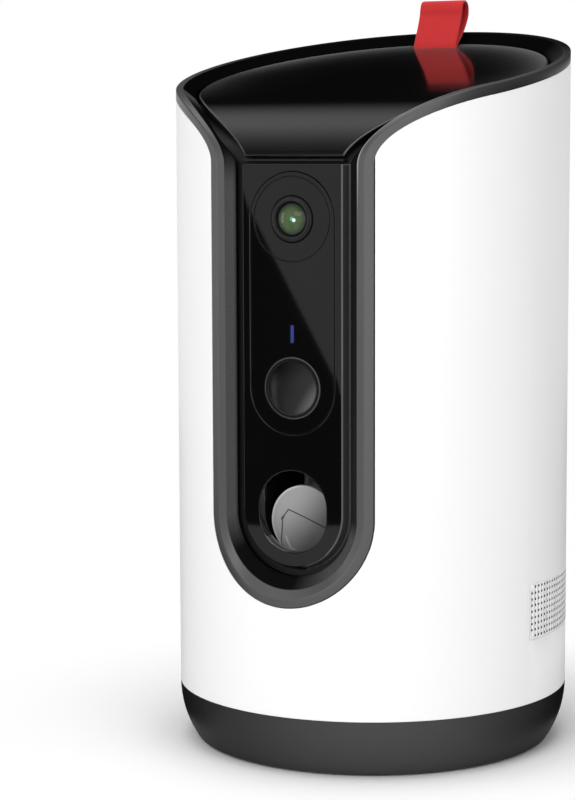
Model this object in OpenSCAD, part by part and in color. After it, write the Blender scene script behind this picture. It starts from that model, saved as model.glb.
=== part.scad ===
// Treat tossing pet camera: a round tower with a sloping lidded top, a tall front
// channel for the camera and the treat port, and a treat hopper, metering rotor and
// sprung toss paddle inside. Origin on the tower's axis at the surface that it
// stands on. Front is -Y, up is +Z. Millimetres. In side profiles f is the distance
// forward of the axis, so f = -y.

/* [Body] */
// Outer diameter of the tower
body_d = 130; // [126:1:136]
// Wall of the white shell
shell_wall = 2.5; // [2:0.1:3]
// Height at which the base ends and the shell starts
base_h = 18.9; // [17:0.1:22]
// Radius of the curve round the side of the base
base_curve = 31.7; // [28:0.1:36]
// Wall of the base
base_wall = 2.4; // [2:0.1:3]
// Height of the base's rim above the table, which the feet lift it by
foot_gap = 0.8; // [0.5:0.1:1.5]

/* [Sloping top] */
// Height of the rim over the axis of the tower
rim_z = 223.4; // [218:0.1:228]
// Fall of the rim for each millimetre forward
rim_slope = 0.2276; // [0.2:0.0001:0.25]
// How far behind the tower's front the rim starts to curve down
bend_back = 32; // [30:0.5:34]
// Height at which the rim's curve has become the upright channel
bend_z = 191; // [188:0.5:194]
// Height of the collar's outer band above the white shell
band_h = 3.4; // [2.6:0.1:4.2]
// Width of the collar's rim, from the tower's side to the top of its sloping wall
land_w = 2.2; // [1.8:0.1:2.6]
// Depth of the collar's rim behind the tower's side at the bottom of the channel
land_dip = 1; // [0.8:0.1:1.2]
// Width of the collar's sloping wall round the top
slope_w = 4.3; // [4:0.1:4.5]
// Depth of the collar's sloping inner wall
slope_h = 3.6; // [3:0.1:4]
// Depth from the rim to the floor of the recess under the lid
floor_drop = 8; // [7.5:0.1:8.6]
// Thickness of the inner frame
frame_t = 2; // [1.8:0.1:2.4]
// Thickness of the frame's sill between the lid and the front panel
sill_t = 0.6; // [0.5:0.1:0.8]

/* [Front channel] */
// Half width of the channel's opening in the shell
channel_x = 28.5; // [28:0.1:29]
// Lowest point of the channel's opening
channel_z = 53.6; // [51:0.1:56]
// Half width of the collar's land in the channel, at its inner edge
mouth_x = 23.1; // [22.8:0.1:23.5]
// Half width between the feet of the channel's sloping walls
foot_x = 20.2; // [20:0.1:20.8]
// How far behind the tower's front the collar's land lies in the channel
land_back = 5.25; // [5:0.05:5.8]
// How far behind the tower's front the frame's face lies, on which the panel sits
seat_back = 10.5; // [10:0.1:11]

/* [Front panel] */
// Half width of the panel's flat face
panel_x = 17.4; // [16.8:0.1:17.8]
// Thickness of the panel
panel_t = 3.8; // [3.4:0.1:4.2]
// Height of the panel's top edge
panel_top = 191.4; // [190:0.1:192]
// Height of the treat port's centre, and of the panel's bottom curve
port_z = 83.1; // [82:0.1:84]
// Width of the treat port
port_w = 23.4; // [22:0.1:24]
// Height of the treat port
port_h = 25.8; // [24.4:0.1:27]
// Height of the camera lens
lens_z = 174.5; // [173:0.1:175]
// Height of the motion sensor
sensor_z = 122; // [121:0.1:123]
// Radius of the smoked window's ends
window_r = 14.5; // [14:0.1:15]
// Depth of the smoked window
window_t = 1.2; // [1:0.1:1.5]
// Radius of the groove in the window round the lens
groove_r = 13; // [11:0.1:13.2]
// Width and depth of that groove
groove_t = 0.35; // [0.3:0.05:0.5]
// Radius of the lens ring
lens_r = 7.26; // [7:0.02:7.6]
// Radius of the lens glass
glass_r = 4.9; // [4.5:0.1:5.2]
// Radius of the motion sensor's ring
ring_r = 9.7; // [9.4:0.1:10]
// Radius of the motion sensor's dome
dome_r = 8.3; // [8:0.1:8.6]
// Height of the status light's centre
led_z = 138.9; // [138:0.1:140]

/* [Lid] */
// Gap between the lid and the foot of the collar's sloping wall
lid_gap = 1; // [0.8:0.1:1.6]
// Depth of the lid's face below the rim
lid_drop = 2.9; // [2.5:0.1:3.4]
// Thickness of the lid
lid_t = 2; // [1.8:0.1:2.2]
// Half width of the lid's front edge
lid_front_x = 17.2; // [16.5:0.1:18]
// Height of the lid's front edge
lid_front_z = 193.7; // [193.2:0.1:194.5]
// How far the pull tab stands above the lid
tab_h = 18; // [15:0.5:19]
// Width of the pull tab
tab_w = 16.2; // [14:0.1:18]
// Thickness of the pull tab's webbing
tab_t = 0.8; // [0.7:0.05:0.9]

/* [Hopper and metering rotor] */
// Gap between the camera module and the hopper
hopper_front_gap = 4; // [3.6:0.1:5]
// Distance of the hopper from the tower's back
hopper_back_gap = 15; // [14.6:0.1:16]
// Wall of the hopper
hopper_wall = 2; // [1.6:0.1:2.2]
// Teeth on the metering rotor
rotor_teeth = 46; // [44:2:46]
// Teeth on the rotor's pinion
pinion_teeth = 14; // [12:1:15]
// Module of the rotor's teeth
rotor_module = 1; // [0.96:0.01:1]
// Height of the metering rotor
rotor_h = 14; // [13:0.5:14]
// Number of pockets in the metering rotor
pockets = 4; // [3:1:4]
// Radius of each pocket
pocket_r = 7.5; // [6.5:0.1:7.6]
// Height of the rotor housing's floor
rotor_floor_z = 117.5; // [117:0.1:118]

/* [Toss mechanism] */
// Distance of the paddle's shaft behind the frame's face
shaft_back = 12.5; // [12.1:0.1:12.7]
// Height of the paddle's shaft
shaft_z = 64; // [63.6:0.1:64.5]
// Radius of the paddle's shaft
shaft_r = 2; // [1.8:0.1:2.2]
// Radius of the paddle's round face
paddle_r = 11.5; // [10.8:0.1:12]
// Height of the paddle's centre
paddle_z = 79; // [78.6:0.1:79.6]
// Half width inside the launcher housing
launch_x = 13.2; // [12.8:0.1:13.8]
// Teeth on the paddle's gear
paddle_teeth = 28; // [26:2:28]
// Teeth on the launch motor's pinion
launch_teeth = 14; // [12:1:14]
// Module of the paddle's teeth
launch_module = 0.8; // [0.76:0.01:0.8]

/* [Speaker grille] */
// Columns of holes in the speaker grille
grille_cols = 24; // [16:1:24]
// Rows of holes in the speaker grille
grille_rows = 9; // [7:1:9]
// Spacing of the grille's holes
grille_pitch = 1.97; // [1.9:0.01:2]
// Diameter of the grille's holes
grille_hole = 0.9; // [0.7:0.05:1]
// Height of the middle of the grille
grille_z = 48.8; // [48:0.1:50]

/* [Fasteners and fits] */
// Radius of the screws' shanks
screw_r = 1.25; // [1:0.05:1.5]
// Radius of the screws' heads
head_r = 2.4; // [2.2:0.1:2.8]
// Height of the screws' heads
head_h = 1.6; // [1.2:0.1:2]
// Clearance round a fixed piece in its seat
seat_gap = 0.15; // [0.1:0.05:0.25]
// Radial clearance of a running shaft or button
run_gap = 0.05; // [0.03:0.01:0.08]

/* [Hidden] */
$fn = 96;

body_r = body_d / 2;
shell_ri = body_r - shell_wall;
fit_r = shell_ri - seat_gap;
tall = 300;

// Places forward of the tower's axis
bend_f = body_r - bend_back;
land_f = body_r - land_back;
seat_f = body_r - seat_back;
panel_f = seat_f + panel_t;
camera_f = seat_f - 12.5;
shaft_f = seat_f - shaft_back;

// Chassis and base levels
base_z = foot_gap;
floor_z = base_z + 2.8;
floor_top = floor_z + base_wall;
plate_r = body_r - 11;
board_z = 27;
board_t = 1.6;
chassis_z = 36;
chassis_t = 2;
chassis_top = chassis_z + chassis_t;
post_r = 4;
post_at = [for (a = [30, 150, 210, 330]) plate_r * [cos(a), sin(a)]];
board_at = [for (x = [-29, 29], y = [-25, 25]) [x, y]];
foot_at = [for (a = [45:90:315]) (plate_r - 13) * [cos(a), sin(a)]];
foot_r = 6;
foot_t = 2;
spigot_h = 5;

// Rear sockets
usb_w = 9.2;
usb_h = 3.3;
usb_len = 7.4;
usb_y = body_r - 2.4;
usb_z = board_z + board_t + usb_h / 2;
button_z = 45;
button_r = 2.5;
button_travel = 0.8;

// Hopper and rotor levels
hopper_front = camera_f - hopper_front_gap;
hopper_back = body_r - hopper_back_gap;
hopper_ro = (hopper_front + hopper_back) / 2;
hopper_y = (hopper_back - hopper_front) / 2;
hopper_r = hopper_ro - hopper_wall;
pitch_r = rotor_module * rotor_teeth / 2;
rotor_r = pitch_r - rotor_module * 1.25;
house_ri = pitch_r + rotor_module + 0.6;
house_wall = 2;
house_ro = house_ri + house_wall;
house_t = 2.5;
gear_h = 6;
rotor_z = rotor_floor_z + 0.3;
house_top = rotor_z + rotor_h + 0.9;
lug_r = house_ro + 6.5;
lug_at = house_ro + 3.4;
throat_h = 2;
cone_top = house_top + throat_h + 26;
pocket_at = (rotor_r + 3) / 2 + 1;
pin_r = 3;
pinion_y = hopper_y + rotor_module * (rotor_teeth + pinion_teeth) / 2;
outlet_f = pocket_at - hopper_y;
outlet_r = pocket_r + 0.4;
motor_r = 12;
motor_len = 30;
motor_shaft_r = 1.5;
hopper_flange = 4;

// Toss mechanism
wall_t = 1.8;
launch_xo = launch_x + wall_t;
paddle_f = seat_f - 3.5;
paddle_t = 2.4;
launch_back = seat_f - 25.5;
launch_top = 101;
launch_floor = 57;
paddle_gear_r = launch_module * paddle_teeth / 2;
gear_x = launch_xo + 0.5;
gear_w = 4;
launch_pinion_f = shaft_f - launch_module * (paddle_teeth + launch_teeth) / 2;
bracket_x = gear_x + gear_w + 0.8;
bracket_t = 1.6;
launch_motor_r = 8;
launch_motor_len = 22;
launch_at = [for (x = [-11, 11], f = [launch_back + 3, seat_f - 7.5]) [x, f]];

base_screw_at = [for (a = [0:90:270]) (plate_r - 7) * [cos(a), sin(a)]];
sensor_can_r = 4.6;
led_w = 1;
led_h = 5.4;
dome_h = 2.6;
dish_r = 60;
launch_back_z = 84;
bracket_at = [for (f = [-5.7, 5.7]) [bracket_x + 18, launch_pinion_f + f]];
speaker_x = shell_ri - 3.1;
lid_r = body_r - land_w - slope_w - lid_gap;
slot_f = lid_r - 7;
tab_top_r = 3.3;
tab_f = slot_f + 8.1;
tab_z = rim_z + rim_slope * slot_f - lid_drop + tab_h;

// Grille
grille_step = grille_pitch / body_r * 180 / PI;
grille_first = 77.2;
grille_mid = grille_first + grille_step * (grille_cols - 1) / 2;
grille_edge = 1.2;
grille_low = grille_z - (grille_rows - 1) / 2 * grille_pitch;
grille_half_z = (grille_rows - 1) / 2 * grille_pitch + grille_edge;
grille_half_a = (grille_cols - 1) / 2 * grille_step + grille_edge / body_r * 180 / PI;
speaker_r = 10.4;

// Height of the plane that lies a drop below the rim, at a distance forward
function plane_z(f, drop) = rim_z - rim_slope * f - drop;

function bezier(a, b, c, t) = a * (1 - t) * (1 - t) + b * 2 * t * (1 - t) + c * t * t;

// Side curve of the top: down the slope, then round and down into the channel
function top_curve(drop, f0, f1, f2, zb, n = 14) =
    [for (i = [0:n])
        bezier([f0, plane_z(f0, drop)], [f1, plane_z(f1, drop)], [f2, zb], i / n)];

white_f = sqrt(pow(body_r, 2) - pow(channel_x, 2)) + 0.15;
white_curve = top_curve(band_h, bend_f, white_f, white_f, bend_z);
land_curve = top_curve(0, bend_f, land_f, land_f, bend_z);
frame_curve = top_curve(floor_drop, bend_f - 5, seat_f, seat_f, bend_z);
lid_front_f = panel_f - 1.3;
lid_turn = 29;
lid_trim = 0.4;
lid_curve = top_curve(lid_drop, bend_f - 3, lid_front_f - 2.5, lid_front_f, lid_front_z);

// Turns a side profile, drawn as [f, z], into a bar that runs across the tower
module across(w = 2 * tall)
    rotate([90, 0, -90]) linear_extrude(height = w, center = true) children();

// Turns a front outline, drawn as [x, z], into a bar from f = a to f = b
module forward(a, b)
    translate([0, -a, 0]) rotate([90, 0, 0]) linear_extrude(height = b - a) children();

// Everything that lies below and behind a side curve
module below(curve, drop)
    across() polygon(concat(
        [[-tall, plane_z(-tall, drop)]], curve,
        [[curve[len(curve) - 1][0], -tall], [-tall, -tall]]));

// Upright slot with a round bottom, as wide as 2 x, drawn as [x, z]
module u_outline(x, zlow, zhigh) {
    translate([0, zlow + x]) circle(r = x);
    translate([-x, zlow + x]) square([2 * x, zhigh - zlow - x]);
}

module stadium(r, zlow, zhigh) {
    translate([0, zlow]) circle(r = r);
    translate([0, zhigh]) circle(r = r);
    translate([-r, zlow]) square([2 * r, zhigh - zlow]);
}

module disc(r, z0, z1, y = 0) translate([0, y, z0]) cylinder(r = r, h = z1 - z0);

module tube(ro, ri, z0, z1, y = 0)
    difference() {
        disc(ro, z0, z1, y);
        disc(ri, z0 - 1, z1 + 1, y);
    }

// Space that the channel and the sloping top take out of the shell
module shell_opening() {
    difference() {
        translate([-body_r - 1, -body_r - 1, bend_z])
            cube([2 * body_r + 2, 2 * body_r + 2, 70]);
        below(white_curve, band_h);
    }
    forward(seat_f - 6, body_r + 1) u_outline(channel_x, channel_z, bend_z + 10);
}

// How far across an edge lies at a distance forward: on its circle round the top, and
// drawn to its own width as it runs down into the channel
function edge_x(r, x, f, at) = sqrt(max(0, r * r - at * at))
    + (x - sqrt(max(0, r * r - f * f))) * pow(max(0, at - bend_f) / (f - bend_f), 3);

// How far the tower's side bulges past its place at x, at a smaller distance across
function bulge(x, at) = sqrt(body_r * body_r - at * at) - sqrt(body_r * body_r - x * x);

// One half of an edge round the recess, from the bottom of the channel to the back of
// the top, as [x, f, z]: r is its radius round the top, x and f its place in the channel.
// Round the bottom of the channel it bulges with the tower's side, or stays flat
function edge_half(r, x, f, zlow, drop, bulges = 0) =
    let (curve = top_curve(drop, bend_f, f, f, bend_z), a0 = acos(bend_f / r))
    concat(
        [for (i = [0:9]) [x * sin(i * 10), f + bulges * bulge(x, x * sin(i * 10)),
            zlow + x - x * cos(i * 10)]],
        [for (i = [14:-1:0]) [edge_x(r, x, f, curve[i][0]), curve[i][0], curve[i][1]]],
        [for (i = [1:30]) let (a = a0 + (180 - a0) * i / 30)
            [r * sin(a), r * cos(a), plane_z(r * cos(a), drop)]]);

// The whole edge as points, up the right side, round the back and down the left
function edge_loop(half) = let (n = len(half) - 1) concat(
    [for (p = half) [p[0], -p[1], p[2]]],
    [for (i = [n - 1:-1:1]) [-half[i][0], -half[i][1], half[i][2]]]);

// Solid through a row of such edges, each end closed by strips across the tower
module edge_loft(halves) {
    n = len(halves[0]) - 1;
    m = 2 * n;
    last = (len(halves) - 1) * m;
    polyhedron(
        points = [for (h = halves) each edge_loop(h)],
        faces = concat(
            [for (i = [1:n - 1]) each [[i, m - i, i + 1], [m - i, (m - i - 1), i + 1]]],
            [[0, m - 1, 1]],
            [for (k = [0:len(halves) - 2], i = [0:m - 1])
                let (a = k * m + i, b = k * m + (i + 1) % m)
                each [[a, b, b + m], [a, b + m, a + m]]],
            [[last, last + 1, last + m - 1]],
            [for (i = [1:n - 1]) each [
                [last + i, last + i + 1, last + m - i],
                [last + m - i, last + i + 1, last + m - i - 1]]]));
}

// Edges of the collar, from the floor of the recess out to the open air: the land runs
// from mouth_edge to outer_edge, which lies on the tower's side, and on past it
outer_x = sqrt(body_r * body_r - land_f * land_f);
outer_edge = edge_half(body_r, outer_x, land_f, channel_z + channel_x - outer_x, 0, 1);
mouth_edge = [for (p = edge_half(body_r - land_w, mouth_x, land_f,
    channel_z + channel_x - mouth_x, 0, 1))
    p - [0, land_dip * bulge(mouth_x, min(mouth_x, abs(p[0]))) / bulge(mouth_x, 0)
        * (p[2] < port_z ? 1 : 0), 0]];
foot_edge = edge_half(body_r - land_w - slope_w, foot_x, seat_f + 0.4,
    channel_z + channel_x - mouth_x + slope_h, slope_h);
floor_edge = edge_half(body_r - land_w - slope_w, foot_x, seat_f - 1,
    channel_z + channel_x - mouth_x + slope_h, floor_drop + 1);
brim_edge = mouth_edge + 2 * (outer_edge - mouth_edge);
sky_edge = [for (i = [0:len(brim_edge) - 1]) brim_edge[i] + 40 * open_way(i - 10)];

// Direction out of the recess, square to its side curve, at a place along an edge
function open_way(i) =
    let (n = len(land_curve) - 1, k = min(n - i, n),
        run = k < 1 ? [1, -rim_slope] : land_curve[min(k + 1, n)] - land_curve[k - 1])
    i < 0 ? [0, 1, 0] : [0, -run[1], run[0]] / norm(run);

// Underside of the frame, and of anything that hangs a further depth below it
function frame_under(extra) = top_curve(floor_drop + extra, bend_f - 5, seat_f - extra,
    seat_f - extra, bend_z);

module post(x, y, r, z0, z1) translate([x, y, z0]) cylinder(r = r, h = z1 - z0);

// Screw along +Z: the shank ends at the origin and the head lies below it
module screw_up(shank, r = screw_r) {
    translate([0, 0, -shank]) cylinder(r = r, h = shank, $fn = 32);
    translate([0, 0, -shank - head_h]) cylinder(r = head_r, h = head_h, $fn = 32);
}

// Involute gear outline, with tooth 0 on the +X axis
function inv_deg(a) = tan(a) * 180 / PI - a;
module gear_outline(teeth, mod, slack = 0.18) {
    rp = mod * teeth / 2;
    rb = rp * cos(20);
    ra = rp + mod;
    rd = rp - 1.25 * mod;
    r0 = max(rb, rd);
    half = 90 / teeth - slack / 4 / rp * 180 / PI + inv_deg(20);
    flank = [for (i = [0:4]) let (r = r0 + (ra - r0) * i / 4)
        [r, half - inv_deg(acos(min(1, rb / r)))]];
    tooth = concat([[rd, flank[0][1]]], flank);
    pts = [for (k = [0:teeth - 1]) each concat(
        [for (i = [0:5]) [tooth[i][0], 360 * k / teeth - tooth[i][1]]],
        [for (i = [5:-1:0]) [tooth[i][0], 360 * k / teeth + tooth[i][1]]])];
    polygon([for (p = pts) [p[0] * cos(p[1]), p[0] * sin(p[1])]]);
}

// Plate with a U outline whose edge tapers from x0 at f0 to x1 at f1
module tapered_u(x0, x1, f0, f1, zc, ztop) {
    translate([0, -f0, zc]) rotate([90, 0, 0]) cylinder(r1 = x0, r2 = x1, h = f1 - f0);
    translate([0, 0, zc]) linear_extrude(height = ztop - zc)
        polygon([[-x0, -f0], [-x1, -f1], [x1, -f1], [x0, -f0]]);
}

module front_hole(r, z, a, b) forward(a, b) translate([0, z]) circle(r = r);

module outer_shell() color([0.93, 0.93, 0.94]) difference() {
    tube(body_r, shell_ri, base_h, rim_z + rim_slope * body_r + 2);
    shell_opening();
    grille_window(grille_half_z + seat_gap, grille_half_a + seat_gap / body_r * 180 / PI);
    translate([0, body_r + 1, button_z]) rotate([90, 0, 0])
        cylinder(r = button_r + run_gap, h = 6);
    translate([0, body_r + 1, usb_z]) rotate([90, 0, 0]) linear_extrude(height = 6)
        socket_outline(usb_w + 2 * seat_gap, usb_h + 2 * seat_gap);
}

module socket_outline(w, h) {
    for (x = [h / 2 - w / 2, w / 2 - h / 2]) translate([x, 0]) circle(d = h);
    square([w - h, h], center = true);
}

// Curved slab that fills the shell's wall between two angles and heights
module grille_window(half_z, half_a) {
    far = body_r * 1.6;
    intersection() {
        tube(body_r + 2, shell_ri - 2, grille_z - half_z, grille_z + half_z);
        linear_extrude(height = grille_z + half_z + 1) polygon([[0, 0],
            [far * sin(grille_mid - half_a), -far * cos(grille_mid - half_a)],
            [far * sin(grille_mid + half_a), -far * cos(grille_mid + half_a)]]);
    }
}

module speaker_grille() color([0.93, 0.93, 0.94]) difference() {
    intersection() {
        grille_window(grille_half_z, grille_half_a);
        tube(body_r, shell_ri, grille_z - 20, grille_z + 20);
    }
    for (i = [0:grille_cols - 1])
        for (j = [0:grille_rows - 1])
            if (i > 0 || (j > 0 && j < grille_rows - 1))
                rotate([0, 0, grille_first + i * grille_step - 90])
                    translate([shell_ri - 1, 0, grille_low + j * grille_pitch])
                        rotate([0, 90, 0])
                            cylinder(d = grille_hole, h = shell_wall + 2, $fn = 16);
}

module collar() color([0.34, 0.34, 0.35]) difference() {
    union() {
        intersection() {
            disc(body_r, channel_z - 1, rim_z + 20);
            shell_opening();
        }
        disc(fit_r, bend_z - 4, rim_z + 20);
        intersection() {
            disc(fit_r, channel_z - 10, bend_z);
            forward(seat_f, body_r) u_outline(channel_x + 3, channel_z - 3, bend_z);
        }
    }
    below(frame_curve, floor_drop);
    edge_loft([sky_edge, brim_edge, mouth_edge, foot_edge, floor_edge]);
}

module inner_frame() color([0.09, 0.09, 0.1]) difference() {
    union() {
        difference() {
            intersection() {
                disc(fit_r - 0.2, bend_z, rim_z + 20);
                below(frame_curve, floor_drop);
            }
            below(frame_under(frame_t), floor_drop + frame_t);
        }
        intersection() {
            disc(fit_r - 0.2, channel_z - 3, bend_z);
            forward(seat_f - frame_t, seat_f) u_outline(channel_x + 3, channel_z - 3, bend_z);
        }
        forward(seat_f - 1, panel_f - 0.8) translate([0, (panel_top + lid_front_z) / 2])
            square([2 * panel_x, sill_t], center = true);
    }
    disc(hopper_ro + seat_gap, bend_z, rim_z + 20, hopper_y);
    forward(seat_f - 6, seat_f + 1) port_outline(1.2);
    front_hole(lens_r + seat_gap, lens_z, seat_f - 6, seat_f + 1);
    front_hole(sensor_can_r + seat_gap, sensor_z, seat_f - 6, seat_f + 1);
    forward(seat_f - 6, seat_f + 1) translate([0, led_z]) square([2.4, 6.6], center = true);
    hopper_screw_places() translate([0, 0, -3]) cylinder(r = screw_r, h = 6, $fn = 32);
}

module port_outline(grow) {
    r = port_w / 2 + grow;
    stadium(r, port_z - (port_h - port_w) / 2, port_z + (port_h - port_w) / 2);
}

module front_panel() color([0.03, 0.03, 0.035]) difference() {
    tapered_u(panel_x + 1.6, panel_x, seat_f, panel_f, port_z, panel_top);
    forward(seat_f - 1, panel_f + 1) port_outline(0);
    forward(panel_f - window_t, panel_f + 1) stadium(window_r + seat_gap, sensor_z, lens_z);
    front_hole(lens_r + seat_gap, lens_z, seat_f - 1, panel_f + 1);
    front_hole(ring_r + seat_gap, sensor_z, seat_f - 1, panel_f + 1);
    forward(seat_f - 1, panel_f + 1) translate([0, led_z])
        square([led_w + 2 * seat_gap, led_h + 2 * seat_gap], center = true);
}

module sensor_window() color([0.02, 0.02, 0.025]) difference() {
    forward(panel_f - window_t, panel_f) stadium(window_r, sensor_z, lens_z);
    front_hole(lens_r + seat_gap, lens_z, panel_f - 3, panel_f + 1);
    front_hole(ring_r + seat_gap, sensor_z, panel_f - 3, panel_f + 1);
    forward(panel_f - 3, panel_f + 1) translate([0, led_z])
        square([led_w + 2 * seat_gap, led_h + 2 * seat_gap], center = true);
    forward(panel_f - groove_t, panel_f + 1) translate([0, lens_z]) difference() {
        circle(r = groove_r + groove_t);
        circle(r = groove_r);
    }
}

module lens_ring() color([0.05, 0.05, 0.055])
    translate([0, -seat_f + frame_t, lens_z]) rotate([90, 0, 0]) difference() {
        union() {
            cylinder(r = lens_r, h = panel_f + 0.3 - seat_f + frame_t);
            cylinder(r = lens_r - 0.9, h = panel_f + 0.9 - seat_f + frame_t);
        }
        translate([0, 0, -1]) cylinder(r = glass_r - 0.6, h = 12);
        translate([0, 0, panel_f - 0.9 - seat_f + frame_t]) cylinder(r = glass_r, h = 5);
    }

// Cap of a ball: r is the radius at its foot and h its height, along +Z
module dome_cap(r, h) {
    ball = (r * r + h * h) / (2 * h);
    intersection() {
        translate([0, 0, h - ball]) sphere(r = ball);
        cylinder(r = r + 1, h = h + 1);
    }
}

module lens_glass() color([0.3, 0.38, 0.28]) translate([0, -panel_f + 0.9, lens_z])
    rotate([90, 0, 0]) {
        cylinder(r = glass_r, h = 0.8);
        translate([0, 0, 0.8]) dome_cap(glass_r, 0.9);
    }

module camera_module() color([0.12, 0.13, 0.14]) {
    translate([0, -camera_f, lens_z]) rotate([90, 0, 0]) {
        translate([-11, -11, 0]) cube([22, 22, 1.4]);
        translate([-8.5, -8.5, 1.4]) cube([17, 17, 3.6]);
        translate([0, 0, 5]) cylinder(r = 6.4, h = seat_f - frame_t - camera_f - 5);
    }
    for (x = [-10.4, 8.4])
        translate([x, -seat_f + frame_t, lens_z - 10])
            cube([2, seat_f - frame_t - camera_f - 1.4, 20]);
}

module status_light_pipe() color([0.2, 0.25, 0.75])
    forward(seat_f - frame_t + 0.4, panel_f) translate([0, led_z])
        square([led_w, led_h], center = true);

module status_light_board() color([0.1, 0.3, 0.2]) {
    forward(seat_f - frame_t - 1.2, seat_f - frame_t) translate([0, led_z])
        square([12, 10], center = true);
    forward(seat_f - frame_t, seat_f - frame_t + 0.4) translate([0, led_z])
        square([1.6, 2], center = true);
}

module motion_sensor_ring() color([0.07, 0.07, 0.075])
    translate([0, -seat_f, sensor_z]) rotate([90, 0, 0]) difference() {
        cylinder(r = ring_r, h = panel_f - seat_f);
        translate([0, 0, -1]) cylinder(r = dome_r - 1, h = 8);
        translate([0, 0, panel_f - seat_f - 1]) cylinder(r = dome_r + 0.05, h = 8);
    }

module motion_sensor_dome() color([0.1, 0.1, 0.105])
    translate([0, -panel_f + 1, sensor_z]) rotate([90, 0, 0]) difference() {
        union() {
            cylinder(r = dome_r, h = 1);
            translate([0, 0, 1]) dome_cap(dome_r, dome_h);
        }
        translate([0, 0, -0.001]) dome_cap(dome_r - 1.4, dome_h - 0.2);
    }

module motion_sensor() color([0.6, 0.6, 0.62]) {
    forward(seat_f - frame_t - 1.2, seat_f - frame_t) translate([0, sensor_z])
        square([18, 18], center = true);
    front_hole(sensor_can_r, sensor_z, seat_f - frame_t, seat_f + 0.6);
}

// Plan outline of the lid: round, with corners that reach to its front edge
module lid_plan() {
    circle(r = lid_r);
    polygon([[-lid_front_x, -lid_front_f], [lid_front_x, -lid_front_f],
        [lid_r * sin(lid_turn), -lid_r * cos(lid_turn)], [0, 0],
        [-lid_r * sin(lid_turn), -lid_r * cos(lid_turn)]]);
}

// Half width of that plan at a distance forward
function lid_half(f) = f < lid_r * cos(lid_turn) ? sqrt(lid_r * lid_r - f * f)
    : lid_front_x + (lid_r * sin(lid_turn) - lid_front_x)
        * (lid_front_f - f) / (lid_front_f - lid_r * cos(lid_turn));

// The lid seen from the front: its sides flare from its front edge up to its round part,
// just outside its plan, so that they trim only its underside
module lid_front_view() {
    side = concat(
        [for (i = [len(lid_curve) - 1:-1:0])
            [lid_half(lid_curve[i][0]) + lid_trim, lid_curve[i][1] - lid_trim / 4]],
        [[body_r, lid_curve[0][1]], [body_r, tall]]);
    polygon(concat(side, [for (i = [len(side) - 1:-1:0]) [-side[i][0], side[i][1]]]));
}

// Underside of the lid, and of anything that hangs a further depth below it
function lid_under(extra) = top_curve(lid_drop + lid_t + extra, bend_f - 3,
    lid_front_f - 2.5 - lid_t - extra, lid_front_f - lid_t - extra, lid_front_z - 1);

module lid() color([0.03, 0.03, 0.035]) difference() {
    union() {
        difference() {
            intersection() {
                translate([0, 0, lid_front_z]) linear_extrude(height = 60) lid_plan();
                forward(-tall, tall) lid_front_view();
                below(lid_curve, lid_drop);
            }
            below(lid_under(0), lid_drop + lid_t);
        }
        difference() {
            intersection() {
                tube(lid_r - 3, lid_r - 5, bend_z, rim_z + 20);
                below(lid_under(0), lid_drop + lid_t);
                translate([-tall, -bend_f, 0]) cube(2 * tall);
            }
            below(frame_curve, floor_drop);
        }
    }
    translate([-tab_w / 2 - seat_gap, slot_f - 1 - seat_gap, rim_z - 20])
        cube([tab_w + 2 * seat_gap, 2.3 + 2 * seat_gap, 60]);
}

module lid_gasket() color([0.16, 0.16, 0.17]) difference() {
    intersection() {
        tube(hopper_r - 0.3, hopper_r - 2.3, bend_z, rim_z + 20, hopper_y);
        below(lid_under(0), lid_drop + lid_t);
    }
    below(frame_under(4), floor_drop + 6);
}

// Folded loop of webbing, drawn as [f, z]; its two ends are sewn together at the lid
module tab_profile(r_top, r_mid, r_foot) {
    hull() {
        translate([-tab_f, tab_z - tab_top_r]) circle(r = r_top, $fn = 32);
        translate([-tab_f + 0.2, tab_z - tab_top_r - 4.2]) circle(r = r_mid, $fn = 32);
    }
    hull() {
        translate([-tab_f + 0.2, tab_z - tab_top_r - 4.2]) circle(r = r_mid, $fn = 32);
        translate([-slot_f - 1.2, plane_z(-slot_f, lid_drop) + 3]) circle(r = r_foot, $fn = 32);
    }
}

module lid_pull_tab() color([0.75, 0.12, 0.13]) {
    across(tab_w) difference() {
        union() {
            tab_profile(tab_top_r, tab_top_r, 1);
            hull() {
                translate([-slot_f - 1.2, plane_z(-slot_f, lid_drop) + 3])
                    circle(r = 1, $fn = 32);
                translate([-slot_f, plane_z(-slot_f, lid_drop)]) circle(r = 1, $fn = 32);
            }
            translate([-slot_f - 1, plane_z(-slot_f, lid_drop + lid_t)]) square([2, lid_t]);
        }
        tab_profile(tab_top_r - tab_t, tab_top_r - tab_t, 0.1);
    }
    intersection() {
        translate([-tab_w / 2 - 1, slot_f - 2.5, rim_z]) cube([tab_w + 2, 3.3, 40]);
        difference() {
            below(lid_under(0), lid_drop + lid_t);
            below(lid_under(1.4), lid_drop + lid_t + 1.4);
        }
    }
}

module base() color([0.16, 0.16, 0.17]) difference() {
    union() {
        difference() {
            rotate_extrude() base_outline(base_curve, base_z);
            rotate_extrude() base_outline(base_curve - base_wall, floor_top, 1);
        }
        tube(fit_r, fit_r - 2.2, base_h - 4, base_h + spigot_h);
        tube(body_r - 2, fit_r - 2.2, base_h - 4, base_h);
        for (p = post_at) post(p[0], p[1], post_r, floor_z, chassis_z);
        for (p = board_at) post(p[0], p[1], 3, floor_z, board_z);
        for (p = base_screw_at) post(p[0], p[1], 3.5, floor_z, floor_z + 9);
    }
    disc(plate_r + seat_gap, -1, floor_z);
    for (p = post_at) post(p[0], p[1], screw_r, chassis_z - 8, chassis_z + 1);
    for (p = board_at) post(p[0], p[1], screw_r, board_z - 7, board_z + 1);
    for (p = base_screw_at) post(p[0], p[1], screw_r, floor_z - 1, floor_z + 7);
}

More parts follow.
